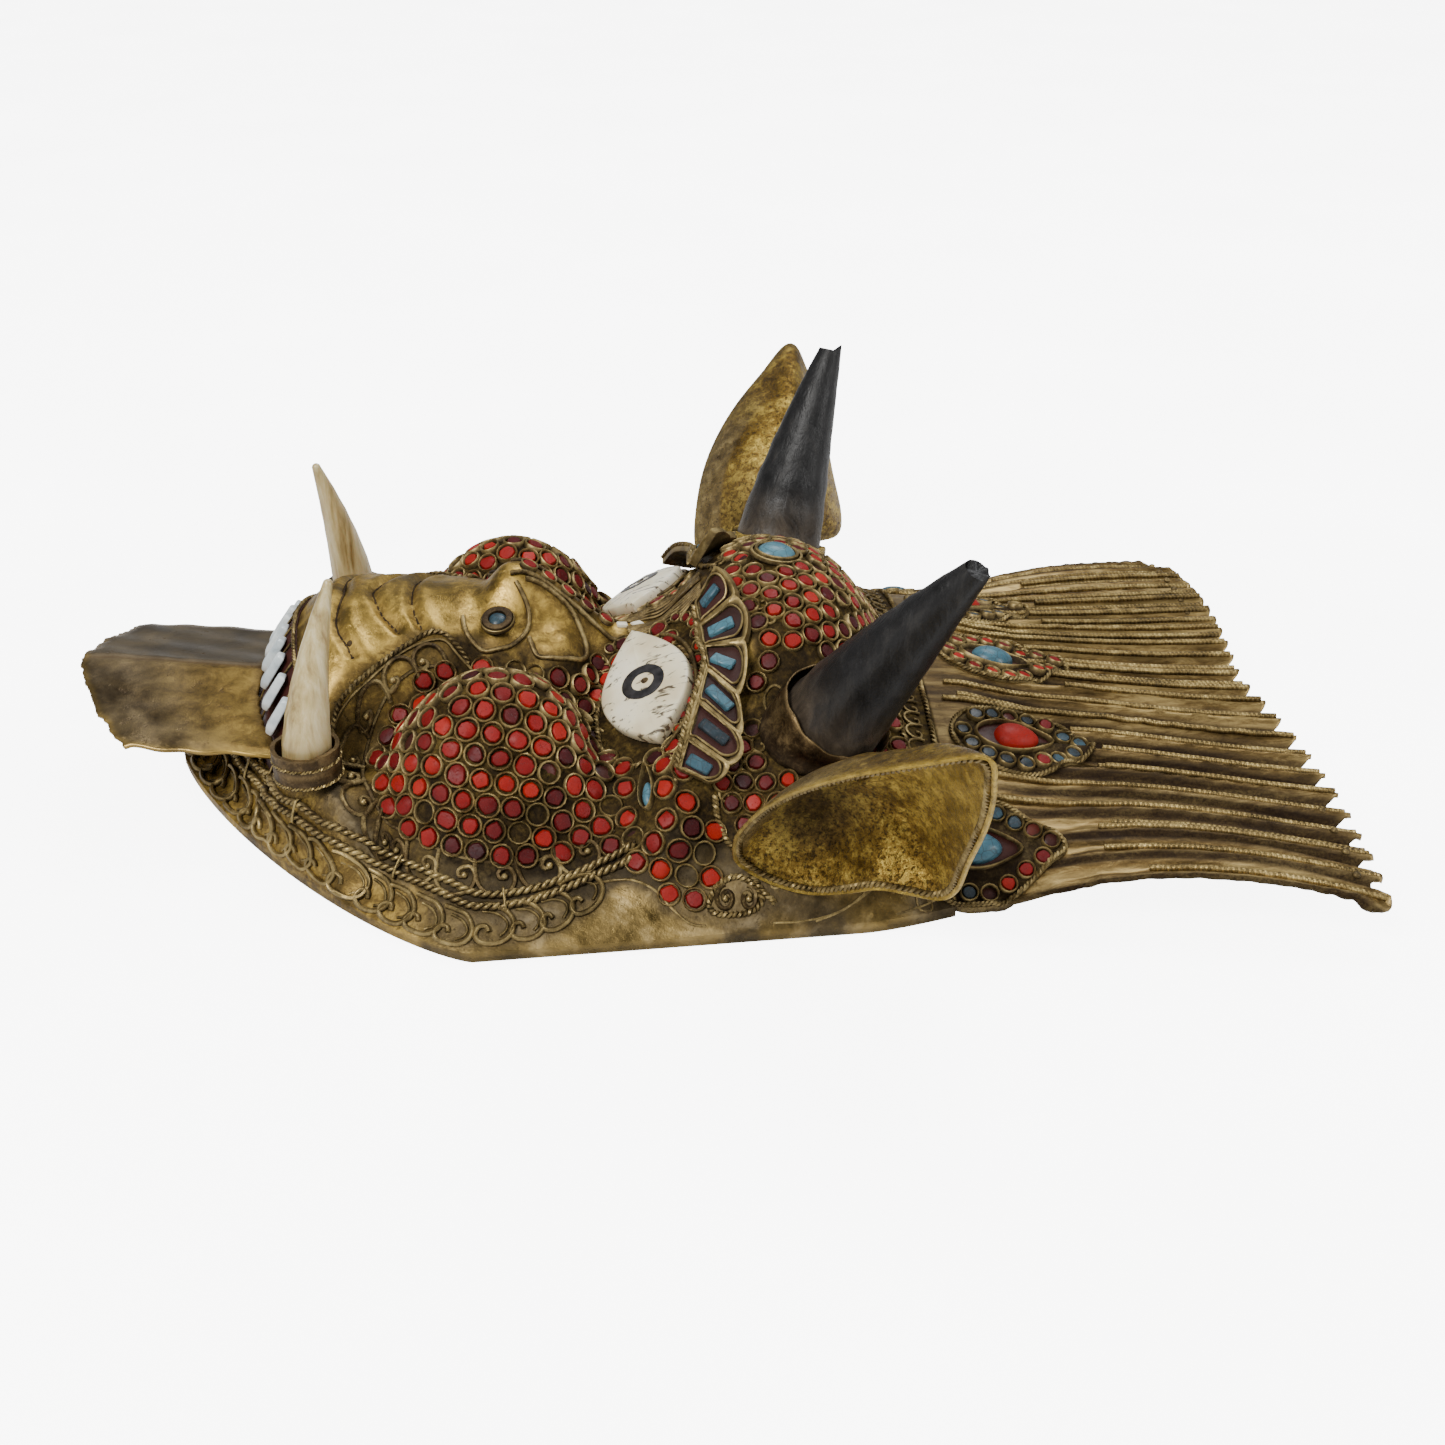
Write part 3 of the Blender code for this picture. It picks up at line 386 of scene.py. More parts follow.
def make_paints():
    """Every material, by the plain name of what it is."""
    # The dark colour given to each brass for its spots is also laid in its recesses as painted shade with
    # patina.
    paints = {
        "face": brass_paint("face brass", srgb(54, 42, 21), srgb(108, 86, 42), srgb(196, 164, 84),
                            grime=srgb(17, 11, 7), tin=(srgb(38, 33, 25), srgb(76, 68, 54),
                                                        srgb(136, 126, 106))),
        "wire": brass_paint("wire brass", srgb(46, 36, 21), srgb(94, 77, 46), srgb(172, 152, 102), 0.42, 0.5,
                            grain=1.5),
        "rod": brass_paint("milled wire", srgb(58, 45, 25), srgb(112, 92, 54), srgb(186, 164, 108), 0.40, 0.5,
                           grain=1.5, milled=1.2 * MM),
        "hair": brass_paint("hair brass", srgb(66, 52, 30), srgb(108, 88, 52), srgb(168, 145, 94), 0.40, 0.7,
                            grime=srgb(24, 14, 8), grain=1.6, stretch=(0.22, 1.0, 1.0), spotted=0.66),
        "ear": brass_paint("ear brass", srgb(84, 64, 26), srgb(128, 102, 46), srgb(196, 168, 84), 0.36, 2.0,
                           grime=srgb(28, 19, 8), grain=2.6, spotted=0.53,
                           tin=(srgb(96, 80, 50), srgb(130, 112, 74), srgb(172, 152, 108))),
        "tongue": brass_paint("tongue brass", srgb(84, 66, 32), srgb(126, 102, 50), srgb(166, 138, 72), 0.36,
                              0.4,
                              srgb(60, 45, 28), 0.7,
                              tin=(srgb(88, 76, 58), srgb(112, 100, 80), srgb(136, 122, 98))),
        "collar": brass_paint("dark collar", srgb(34, 26, 17), srgb(66, 52, 34), srgb(128, 108, 74), 0.46),
    }
    paints["coral"] = stone_paint("coral", (
        (0.0, srgb(40, 5, 8)), (0.16, srgb(66, 6, 9)), (0.40, srgb(98, 8, 9)), (0.72, srgb(122, 12, 10)),
        (1.0, srgb(148, 26, 13))), 0.48, None, 1.0, 0.0)
    paints["turquoise"] = stone_paint("turquoise", (
        (0.0, srgb(30, 34, 36)), (0.3, srgb(40, 54, 62)), (0.6, srgb(56, 92, 106)),
                                                    (1.0, srgb(86, 132, 146))),
        0.34, srgb(40, 34, 28), 0.6, 0.15)
    paints["resin"] = stone_paint("brown resin", (
        (0.0, srgb(26, 14, 10)), (0.5, srgb(58, 24, 18)), (1.0, srgb(84, 34, 26))), 0.5, None, 1.0, 0.1)

    p = Paint("bone")
    streak = p.streaks(330.0, 4.0, 0.6, (0.5, 1.7, 1.0), 0.5)
    cloud = p.noise(70, 3, 0.5)
    colour = p.ramp(p.span(cloud, 0.3, 0.7), ((0.0, srgb(204, 188, 152)), (0.5, srgb(228, 216, 184)),
                                              (1.0, srgb(242, 234, 212))))
    colour = p.blend(p.span(streak, 0.575, 0.645, 0.0, 0.9), colour, srgb(42, 32, 22))
    # Painted shade with patina where the bone's mask is high.
    colour = p.dirtied(colour, srgb(92, 66, 40), p.attribute("hollow"), 0.75)
    normal = p.bump(streak, 0.3, 0.0006)
    paints["bone"] = p.finish(Base_Color=colour, Roughness=p.span(cloud, 0.3, 0.7, 0.28, 0.42),
                              Subsurface_Weight=0.06, Coat_Weight=0.12, Normal=normal)

    p = Paint("tusk bone")
    streak = p.streaks(300.0, 5.0, 0.65, (1.0, 1.0, 0.12), 0.3)
    root = p.attribute("root")
    colour = p.ramp(p.span(streak, 0.32, 0.7), ((0.0, srgb(124, 104, 62)), (0.45, srgb(180, 162, 114)),
                                               (1.0, srgb(214, 202, 162))))
    colour = p.blend(p.times(root, p.span(streak, 0.3, 0.7, 0.35, 1.0)), colour, srgb(136, 112, 68))
    normal = p.bump(streak, 0.35, 0.0008)
    paints["tusk"] = p.finish(Base_Color=colour, Roughness=p.span(streak, 0.3, 0.7, 0.27, 0.42),
                              Subsurface_Weight=0.06, Coat_Weight=0.15, Normal=normal)

    p = Paint("dark horn")
    streak = p.streaks(260.0, 6.0, 0.7, (1.0, 1.0, 0.35), 0.5)
    cloud = p.noise(60, 4, 0.6)
    root = p.attribute("root")
    colour = p.ramp(p.span(streak, 0.3, 0.72), ((0.0, srgb(9, 9, 10)), (0.6, srgb(18, 18, 19)),
                                                (1.0, srgb(40, 38, 36))))
    worn = p.times(root, p.span(cloud, 0.3, 0.65, 0.35, 1.0))
    colour = p.blend(worn, colour, p.ramp(streak, ((0.3, srgb(36, 31, 26)), (0.7, srgb(92, 80, 64)))))
    normal = p.bump(streak, 0.5, 0.0010)
    paints["horn"] = p.finish(Base_Color=colour, Roughness=p.span(streak, 0.3, 0.7, 0.34, 0.52),
                              Specular_IOR_Level=0.35, Normal=normal)

    p = Paint("tooth stone")
    cloud = p.noise(160, 4, 0.6)
    colour = p.ramp(p.span(cloud, 0.3, 0.7), ((0.0, srgb(160, 172, 178)), (0.5, srgb(196, 206, 208)),
                                              (1.0, srgb(226, 230, 228))))
    # Painted shade with patina at the foot of the teeth.
    colour = p.dirtied(colour, srgb(92, 70, 56), p.attribute("hollow"), 0.8)
    paints["tooth"] = p.finish(Base_Color=colour, Roughness=p.span(cloud, 0.3, 0.7, 0.25, 0.45),
                               Coat_Weight=0.3,
                               Normal=p.bump(cloud, 0.3, 0.0006))

    p = Paint("black inlay")
    cloud = p.noise(500, 3, 0.6)
    colour = p.ramp(cloud, ((0.3, srgb(12, 12, 14)), (0.7, srgb(44, 42, 44))))
    paints["black"] = p.finish(Base_Color=colour, Roughness=p.span(cloud, 0.3, 0.7, 0.3, 0.5),
                               Normal=p.bump(cloud, 0.2, 0.0004))
    return paints


PAINTS = make_paints()


# Meshes

def new_piece(name, shape, paint, slot, replaces=(), sharp=42, **masks):
    """Turn a bmesh into a finished piece that rides with the mask."""
    mesh = bpy.data.meshes.new(name)
    shape.to_mesh(mesh)
    shape.free()
    return dress(name, mesh, paint, replaces, sharp, masks)


def dress(name, mesh, paint, replaces, sharp, masks):
    """Give a mesh its material, smooth shading and masks and let it ride with the mask."""
    mesh.materials.clear()
    mesh.materials.append(PAINTS[paint])
    mesh.shade_smooth()
    mesh.set_sharp_from_angle(angle=radians(sharp))
    thing = bpy.data.objects.new(name, mesh)
    bpy.context.scene.collection.objects.link(thing)
    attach(thing, BODY)
    if replaces:
        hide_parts(*replaces)
    set_masks(thing, **masks)
    return thing


def set_masks(thing, **masks):
    """Store what the materials read: each mask is one number for the piece or one for every vertex."""
    mesh = thing.data
    for name, values in masks.items():
        if isinstance(values, float):
            values = [values] * len(mesh.vertices)
        layer = mesh.attributes.get(name) or mesh.attributes.new(name, "FLOAT", "POINT")
        layer.data.foreach_set("value", np.asarray(values, dtype=np.float32))


def thicken(thing, wall):
    """Give a sheet its wall, behind the side that shows."""
    made = thing.modifiers.new("wall", "SOLIDIFY")
    made.thickness = wall
    made.offset = -1.0


def turn_up(shape):
    """Make the outer side of a lying sheet face upwards."""
    face_outwards(shape)
    shape.faces.ensure_lookup_table()
    if shape.faces[len(shape.faces) // 2].normal.z < 0:
        bmesh.ops.reverse_faces(shape, faces=shape.faces)


def vertex_array(mesh):
    spots = np.empty(len(mesh.vertices) * 3, dtype=np.float32)
    mesh.vertices.foreach_get("co", spots)
    return spots.reshape(-1, 3)


def face_outwards(shape):
    bmesh.ops.recalc_face_normals(shape, faces=shape.faces)


def close_ends(shape):
    """Close the open ends of a tube and turn its faces to the outside."""
    bmesh.ops.holes_fill(shape, edges=shape.edges[:])
    face_outwards(shape)


def node_shape(name):
    """A copy of a CAD node with its loose triangles merged."""
    shape = bmesh.new()
    shape.from_mesh(frame["nodes"][name].data)
    bmesh.ops.remove_doubles(shape, verts=shape.verts, dist=0.00001)
    face_outwards(shape)
    return shape


def node_tree(name):
    shape = node_shape(name)
    tree = BVHTree.FromBMesh(shape)
    shape.free()
    return tree


class Relief:
    """The height of a sheet over a grid of places, in millimetres on the face."""

    def __init__(self, box, step=0.75):
        self.x0, self.y0, self.x1, self.y1 = box
        self.step = step
        self.nx = int((self.x1 - self.x0) / step) + 1
        self.ny = int((self.y1 - self.y0) / step) + 1
        self.heights = np.full((self.nx, self.ny), np.nan)

    def read(self, tree):
        for i in range(self.nx):
            for j in range(self.ny):
                top = world(self.x0 + i * self.step, self.y0 + j * self.step, 200)
                hit = tree.ray_cast(top, Vector((0, 0, -1)))[0]
                if hit is not None:
                    self.heights[i, j] = hit.z / MM
        return self

    def neighbours(self, **border):
        """Sum and number of the known heights on the four sides of every place."""
        padded = np.pad(self.heights, 1, **border)
        near = np.stack([padded[2:, 1:-1], padded[:-2, 1:-1], padded[1:-1, 2:], padded[1:-1, :-2]])
        known = ~np.isnan(near)
        return np.where(known, near, 0).sum(axis=0), known.sum(axis=0)

    def soften(self, times):
        """Round the facets off without moving the outline."""
        for _ in range(times):
            total, count = self.neighbours(mode="edge")
            h = self.heights
            mean = 0.5 * h + 0.5 * total / np.maximum(count, 1)
            self.heights = np.where((count == 4) & ~np.isnan(h), mean, h)
        return self

    def fill(self):
        """Give the places beyond the rim the height of the nearest place on the sheet."""
        while np.isnan(self.heights).any():
            total, count = self.neighbours(mode="constant", constant_values=np.nan)
            mean = total / np.maximum(count, 1)
            self.heights = np.where(np.isnan(self.heights) & (count > 0), mean, self.heights)
        return self

    def z(self, x, y):
        u = clamp((x - self.x0) / self.step, 0, self.nx - 1.001)
        v = clamp((y - self.y0) / self.step, 0, self.ny - 1.001)
        i, j = int(u), int(v)
        u -= i
        v -= j
        h = self.heights
        near = h[i, j] * (1 - u) + h[i + 1, j] * u
        far = h[i, j + 1] * (1 - u) + h[i + 1, j + 1] * u
        return float(near * (1 - v) + far * v)

    def normal(self, x, y, reach=1.2):
        slope_x = (self.z(x + reach, y) - self.z(x - reach, y)) / (2 * reach)
        slope_y = (self.z(x, y + reach) - self.z(x, y - reach)) / (2 * reach)
        return Vector((-slope_x, -slope_y, 1.0)).normalized()

    def point(self, x, y, lift=0.0):
        """A place lifted off the sheet along its normal, in the row frame."""
        place = world(x, y, self.z(x, y))
        if lift:
            place = place + self.normal(x, y) * (lift * MM)
        return place


# The two sheets

def half_width(along):
    """Half width of the face, as a share of its largest, from chin 0 to hairline 1."""
    corner = (JAW_CORNER - FACE_START) / (FACE_END - FACE_START)
    if along < corner:
        return max(1.0 - ((corner - along) / corner) ** JAW_POWER, 0.0) ** (1.0 / JAW_POWER)
    return 1.0 - 0.085 * (along - corner) / (1.0 - corner)


def rim_height(along):
    corner = (JAW_CORNER - FACE_START) / (FACE_END - FACE_START)
    return 6.0 * clamp((corner - along) / corner) ** 2 + 3.0 * clamp((along - 0.89) / 0.11) ** 1.5


def along_of(x):
    return (x - FACE_START) / (FACE_END - FACE_START)


def rim_distance(x, y):
    """Millimetres in from the rim."""
    best = 1e9
    for step in range(-16, 17):
        far = x + step * 1.8
        along = clamp(along_of(far))
        wide = HALF_WIDTH * half_width(along)
        best = min(best, hypot(far - x, max(wide - abs(y), 0.0) if far > FACE_START else abs(y)))
    return best


FACE_RELIEF = Relief((FACE_START - 3, -HALF_WIDTH - 3, FACE_END, HALF_WIDTH + 3))
FACE_RELIEF.read(node_tree("face_shell")).soften(15).fill()

MUZZLE_FOLDS = (
    ((-97.0, 0.0), (-97.5, -10.7), (-96.5, -15.9), (-93.9, -20.2), (-92.2, -24.0)),
    ((-89.6, 0.0), (-88.4, -4.5), (-85.9, -10.8), (-81.5, -16.2)),
    ((-79.6, 0.0), (-79.2, -4.9), (-78.0, -10.5), (-76.0, -14.9)),
)


def line_distance(points, x, y):
    """Distance from a place to a broken line, in the plan."""
    best = 1e9
    for (ax, ay), (bx, by) in zip(points, points[1:]):
        dx, dy = bx - ax, by - ay
        share = clamp(((x - ax) * dx + (y - ay) * dy) / max(dx * dx + dy * dy, 1e-9))
        best = min(best, hypot(x - ax - dx * share, y - ay - dy * share))
    return best


def muzzle_groove(x, y):
    """Depth of the curved wrinkles pressed into the muzzle."""
    if not (-104 < x < -68 and abs(y) < 24):
        return 0.0
    depth = 0.0
    for number, fold in enumerate(MUZZLE_FOLDS):
        near = line_distance(fold, x, -abs(y))
        if number == 0:
            depth += 1.3 * math.exp(-(near / 1.2) ** 2) - 0.5 * math.exp(-((near - 3.2) / 1.6) ** 2)
        else:
            depth += 1.5 * math.exp(-(near ** 2)) - 0.55 * math.exp(-((near - 2.8) / 1.5) ** 2)
    return depth


for i in range(FACE_RELIEF.nx):
    for j in range(FACE_RELIEF.ny):
        FACE_RELIEF.heights[i, j] -= muzzle_groove(FACE_RELIEF.x0 + i * FACE_RELIEF.step,
                                                   FACE_RELIEF.y0 + j * FACE_RELIEF.step)


def build_face_sheet():
    """The raised sheet face with its wrinkles, dents and turned down rim."""
    rows, columns = 190, 168
    shape = bmesh.new()
    made = bmesh.ops.create_grid(shape, x_segments=rows, y_segments=columns, size=1.0)
    dice = random.Random(SEED)
    dents = [(dice.uniform(-140, 50), dice.uniform(-85, 85), dice.uniform(3, 7), dice.uniform(-0.35, 0.2))
             for _ in range(150)]
    for vert in made["verts"]:
        along = mix(0.003, 1.0, (vert.co.x + 1) / 2)
        share = math.copysign(abs(vert.co.y) ** 0.96, vert.co.y)
        x = mix(FACE_START, FACE_END, along)
        wide = HALF_WIDTH * half_width(along)
        y = share * wide
        inside = y * (1.0 - 0.9 / max(wide, 4.0))
        z = FACE_RELIEF.z(x, inside)
        for dent_x, dent_y, reach, depth in dents:
            near = (x - dent_x) ** 2 + (y - dent_y) ** 2
            if near < 4 * reach * reach:
                z += depth * math.exp(-near / (reach * reach)) * clamp((1 - abs(share)) * 6)
        vert.co = world(x, y, max(z, rim_height(along) + 0.4))
    seam = FACE_END - 0.01
    rim = [edge for edge in shape.edges if edge.is_boundary
           and not all(on_plan(vert.co)[0] > seam for vert in edge.verts)]
    turned = [vert for vert in bmesh.ops.extrude_edge_only(shape, edges=rim)["geom"]
              if isinstance(vert, bmesh.types.BMVert)]
    for vert in turned:
        vert.co.z = rim_height(along_of(on_plan(vert.co)[0])) * MM
    turn_up(shape)
    thing = new_piece("face_sheet", shape, "face", "aged_brass", ("face_shell",))
    thicken(thing, SHEET * 0.92)
    return thing


# The fan of hair

HAIR_RELIEF = Relief((FACE_END + 0.3, -98, 154, 98), 1.0)
HAIR_RELIEF.read(node_tree("hair_fan")).fill()
HAIR_START = FACE_END + 0.6
HAIR_REACH = 97.5
HAIR_END = 151.3
STRANDS = 23


def hair_place(u, share, back=0.0):
    """Plan place on the fan: u across from -1 to 1, share from the root to the end."""
    end = HAIR_REACH * (0.93 + 0.07 * abs(u) + 0.03 * sin(pi * abs(u)))
    root = HALF_WIDTH * half_width(1.0)
    spread = root + (94.5 - root) * share ** 1.6
    swirl = math.copysign(3.5 * sin(pi * abs(u)) * ease((share - 0.35) / 0.65), u)
    return HAIR_START + share * (end - back), u * spread + swirl


def ridge_at(u):
    """Where a place stands across its strand of hair: 0 in a groove, 1 on the ridge."""
    return abs(sin(pi * u * (STRANDS + 1) / 2))


def strand_wave(u, share):
    """Height of the ridges of hair between their grooves."""
    return (ridge_at(u) ** 0.7 - 0.55) * 2.3 * ease((share - 0.04) / 0.4)


def hair_height(x, y, u, share):
    """Height of the fan in millimetres, its ridges with it."""
    return HAIR_RELIEF.z(x, y) - 0.9 * ease((share - 0.04) / 0.3) + strand_wave(u, share) * 0.62


def build_hair_sheet():
    """The swept back fan: ridges with narrow grooves, a saw toothed end and a middle parting."""
    rows, columns = 110, 276
    shape = bmesh.new()
    made = bmesh.ops.create_grid(shape, x_segments=rows, y_segments=columns, size=1.0)
    places = {}
    for vert in made["verts"]:
        share = (vert.co.x + 1) / 2
        u = vert.co.y
        back = 5.2 * (1 - ridge_at(u) ** 0.8) * ease((share - 0.72) / 0.28)
        places[vert.index] = (u, share)
        x, y = hair_place(u, share, back)
        x = min(x, HAIR_END)
        fine = 0.10 * sin(u * 310 + share * 7) * ease(share / 0.2)
        vert.co = world(x, y, max(hair_height(x, y, u, share) + fine, 2.6))
    turn_up(shape)
    thing = new_piece("hair_sheet", shape, "hair", "hair_brass", ("hair_fan",), sharp=60)
    hollow = np.zeros(len(thing.data.vertices))
    rubbed = np.zeros(len(thing.data.vertices))
    for index, (u, share) in places.items():
        ridge = ridge_at(u)
        # Painted shade with patina in the grooves between the ridges and at the root of the fan.
        low = ease((0.74 - ridge) / 0.46)
        hollow[index] = clamp(low * ease(share / 0.25) + 0.45 * ease((0.16 - share) / 0.16))
        rubbed[index] = clamp(ease((ridge - 0.86) / 0.14) * 0.8 + ease((share - 0.97) / 0.03))
    set_masks(thing, hollow=hollow, rubbed=rubbed)
    thicken(thing, SHEET)
    return thing


# Wires, rings and stones

SIDES = (-1, 1)
NAMED_SIDES = (("left", -1), ("right", 1))


def mirrored(points, side):
    """The same line on the near side (-1) or the far side (1)."""
    return [(x, -y if side > 0 else y, *rest) for x, y, *rest in points]


def curve_point(before, start, end, after, t):
    """A place on the smooth curve between start and end, at share t."""
    return 0.5 * ((2 * start) + (end - before) * t + (2 * before - 5 * start + 4 * end - after) * t * t
                  + (3 * start - before - 3 * end + after) * t ** 3)


def smooth_line(points, spacing):
    """Smooth curve through places, with even steps; places in the plan get the height 0."""
    spots = [Vector(point).to_3d() for point in points]
    if len(spots) < 3:
        spots = [spots[0], (spots[0] + spots[-1]) / 2, spots[-1]]
    fine = []
    for index in range(len(spots) - 1):
        near = [spots[clamp(index + step, 0, len(spots) - 1)] for step in (-1, 0, 1, 2)]
        fine += [curve_point(*near, step / 12) for step in range(12)]
    fine.append(spots[-1])
    walked = [0.0]
    for first, second in zip(fine, fine[1:]):
        walked.append(walked[-1] + (second - first).length)
    count = max(int(walked[-1] / spacing), 2)
    even = []
    place = 0
    for step in range(count + 1):
        want = walked[-1] * step / count
        while place < len(walked) - 2 and walked[place + 1] < want:
            place += 1
        span = walked[place + 1] - walked[place]
        even.append(fine[place].lerp(fine[place + 1], (want - walked[place]) / span if span > 1e-9 else 0.0))
    return even


def on_sheet(line, lift):
    """Plan points in face millimetres to places above the sheet."""
    return [FACE_RELIEF.point(spot[0], spot[1], lift) for spot in line]


def on_face(lines, lift, step):
    """Smooth wires over the sheet along lines in the plan."""
    return [smooth_line(on_sheet(line, lift), step * MM) for line in lines]


def laid(line, side, lift, step):
    """Places of a wire that lies along a line on one side of the sheet, kept inside the rim."""
    kept = []
    for x, y in mirrored(line, side):
        wide = HALF_WIDTH * half_width(clamp(along_of(x))) - 0.8
        kept.append((x, clamp(y, -wide, wide)))
    return smooth_line(on_sheet(smooth_line(kept, 0.6), lift), step * MM)


WIRE_SPOTS = []


def add_wires(name, lines, radius, paint, slot, sides=1, **masks):
    """Round wires along many lines, as one mesh."""
    for line in lines:
        WIRE_SPOTS.extend(on_plan(spot) for spot in line)
    curve = bpy.data.curves.new(name, "CURVE")
    curve.dimensions = "3D"
    curve.bevel_depth = radius * MM
    curve.bevel_resolution = sides
    curve.use_fill_caps = True
    for line in lines:
        spline = curve.splines.new("POLY")
        spline.points.add(len(line) - 1)
        for point, spot in zip(spline.points, line):
            point.co = (*spot, 1.0)
    holder = bpy.data.objects.new(name + "_path", curve)
    mesh = bpy.data.meshes.new_from_object(holder)
    mesh.name = name
    bpy.data.objects.remove(holder)
    bpy.data.curves.remove(curve)
    return dress(name, mesh, paint, (), 60, masks)


def twisted(line, radius, pitch):
    """Lines of the two strands that wind round a rope's middle line (places in metres)."""
    made = [[], []]
    walked = 0.0
    up = Vector((0, 0, 1))
    for index, spot in enumerate(line):
        ahead = line[min(index + 1, len(line) - 1)]
        behind = line[max(index - 1, 0)]
        if index:
            walked += (spot - line[index - 1]).length / MM
        way = (ahead - behind).normalized()
        side = way.cross(up).normalized()
        top = side.cross(way)
        for strand in range(2):
            turn = 2 * pi * (walked / pitch + strand / 2)
            made[strand].append(spot + (side * cos(turn) + top * sin(turn)) * (radius * MM))
    return made


def lying_axes(up):
    """Axes of a setting on a slope: along the mask, across it and up."""
    first = (Vector((1, 0, 0)) - up * up.x).normalized()
    return first, up.cross(first), up


def frame_at(x, y):
    """Place and axes of a setting that lies on the sheet."""
    return FACE_RELIEF.point(x, y), *lying_axes(FACE_RELIEF.normal(x, y, 2.2))


TOWERS = {}


def tower(count, levels, closed):
    """A unit tube made by extruding a circle upwards, with a point on top if closed; kept for use again."""
    if (count, levels, closed) not in TOWERS:
        shape = bmesh.new()
        bmesh.ops.create_circle(shape, segments=count, radius=1.0)
        edges = shape.edges[:]
        for _ in range(levels - 1 + closed):
            made = bmesh.ops.extrude_edge_only(shape, edges=edges)["geom"]
            corners = [item for item in made if isinstance(item, bmesh.types.BMVert)]
            fresh = set(corners)
            edges = [item for item in made if isinstance(item,
                                                         bmesh.types.BMEdge) and fresh.issuperset(item.verts)]
            bmesh.ops.translate(shape, verts=corners, vec=(0, 0, 1))
        if closed:
            bmesh.ops.pointmerge(shape, verts=corners, merge_co=(0, 0, levels))
        face_outwards(shape)
        mesh = bpy.data.meshes.new("tower")
        shape.to_mesh(mesh)
        shape.free()
        TOWERS[count, levels, closed] = (mesh, [round(vert.co.z) for vert in mesh.vertices])
    return TOWERS[count, levels, closed]


def add_tower(shape, count, levels, place, closed=False):
    """A tube put into a shape with each corner moved to place(turn, level); gives the corners' levels."""
    mesh, heights = tower(count, levels, closed)
    before = len(shape.verts)
    shape.from_mesh(mesh)
    shape.verts.ensure_lookup_table()
    for vert in shape.verts[before:]:
        vert.co = place(math.atan2(vert.co.y, vert.co.x), round(vert.co.z))
    return heights


def by_level(levels, numbers):
    """A mask's number for every vertex from the level that it stands on."""
    return [numbers[level] for level in levels]


def corner_of(turn, count):
    """Which corner of a tower of that many a turn belongs to."""
    return round((turn / (2 * pi) - 0.25) * count) % count


def ring_of(shape, centre, first, second, up, size, wire, tall, count=14):
    """A bezel: a strip of metal on edge, standing on the sheet."""
    steps = ((size, -0.5), (size, tall * 0.84), (size - wire * 0.5, tall), (size - wire, tall * 0.84),
             (size - wire, -0.2))

    def place(turn, level):
        reach, rise = steps[level]
        return centre + ((first * cos(turn) + second * sin(turn)) * reach + up * rise) * MM

    return add_tower(shape, count, 5, place)


def stone_of(shape, centre, first, second, up, reach, rise, sink, dice, count=8, uneven=0.14, tilt=0.12):
    """A rough little cabochon of about thirty faces."""
    turn0 = dice.uniform(0, pi)
    wobble = [1 + dice.uniform(-uneven, uneven) for _ in range(count)]
    lean_x, lean_y = dice.uniform(-tilt, tilt), dice.uniform(-tilt, tilt)
    steps = ((1.0, -0.4), (0.98, 0.6), (0.82, 0.9), (0.0, 1.0))

    def place(turn, level):
        scale, height = steps[level]
        near = reach * scale * wobble[round(turn / (2 * pi) * count) % count]
        dx, dy = near * cos(turn + turn0), near * sin(turn + turn0)
        lift = height * rise - sink + (dx * lean_x + dy * lean_y) * max(height, 0)
        return centre + (first * dx + second * dy + up * lift) * MM

    return len(add_tower(shape, count, 3, place, True))


def inside(polygon, x, y):
    hit = False
    for (ax, ay), (bx, by) in zip(polygon, polygon[1:] + polygon[:1]):
        if (ay > y) != (by > y) and x < (bx - ax) * (y - ay) / (by - ay) + ax:
            hit = not hit
    return hit


def packed_place(x, y):
    """A place on the sheet as the packing of stones sees it, with its height counted a little less."""
    return x, y, FACE_RELIEF.z(x, y) * 0.92


def bed_spots(allowed, box, pitch, dice):
    """Every place a stone could take on a bed, on a fine uneven grid."""
    found = []
    step = pitch / 13
    for i in range(int((box[2] - box[0]) / step) + 1):
        for j in range(int((box[3] - box[1]) / step) + 1):
            x = box[0] + i * step + dice.uniform(-0.2, 0.2)
            y = box[1] + j * step + dice.uniform(-0.2, 0.2)
            if allowed(x, y):
                found.append(packed_place(x, y))
    return np.array(found)


def fill_bed(spots, taken, pitch):
    """Close packing: each new place nestles against the two nearest already taken."""
    first = np.full(len(spots), 1e6)
    second = np.full(len(spots), 1e6)
    fresh = list(taken)
    taken = []
    while True:
        for x, y in fresh:
            gap = np.sqrt(((spots - packed_place(x, y)) ** 2).sum(axis=1))
            nearer = gap < first
            second = np.where(nearer, first, np.minimum(second, gap))
            first = np.where(nearer, gap, first)
        taken += fresh
        open_places = first >= pitch
        if not open_places.any():
            return taken
        score = np.where(open_places, np.minimum(first, 2.5 * pitch) + np.minimum(second, 2.5 * pitch), 1e9)
        pick = spots[int(np.argmin(score))]
        fresh = [(float(pick[0]), float(pick[1]))]


def even_out(places, allowed, pitch):
    """Push crowded places apart without leaving the bed."""
    for _ in range(24):
        solid = np.array([packed_place(x, y) for x, y in places])
        gaps = solid[:, None, :] - solid[None, :, :]
        far = np.sqrt((gaps ** 2).sum(axis=2)) + np.eye(len(solid)) * 1e3
        push = np.clip(pitch * 1.12 - far, 0, None) * 0.3
        moves = (gaps[:, :, :2] / far[:, :, None] * push[:, :, None]).sum(axis=1)
        for index, ((x, y), (dx, dy)) in enumerate(zip(places, moves)):
            if allowed(x + dx, y + dy):
                places[index] = (x + float(dx), y + float(dy))
    return places


def pack_places(allowed, box, pitch, dice, start):
    """Places for stones of one size over a bed, nearly touching."""
    spots = bed_spots(allowed, box, pitch, dice)
    places = fill_bed(spots, [start], pitch)
    for share in (0.97, 0.95, 0.93):
        places = fill_bed(spots, even_out(places, allowed, pitch), pitch * share)
    return places


# The beds of stones

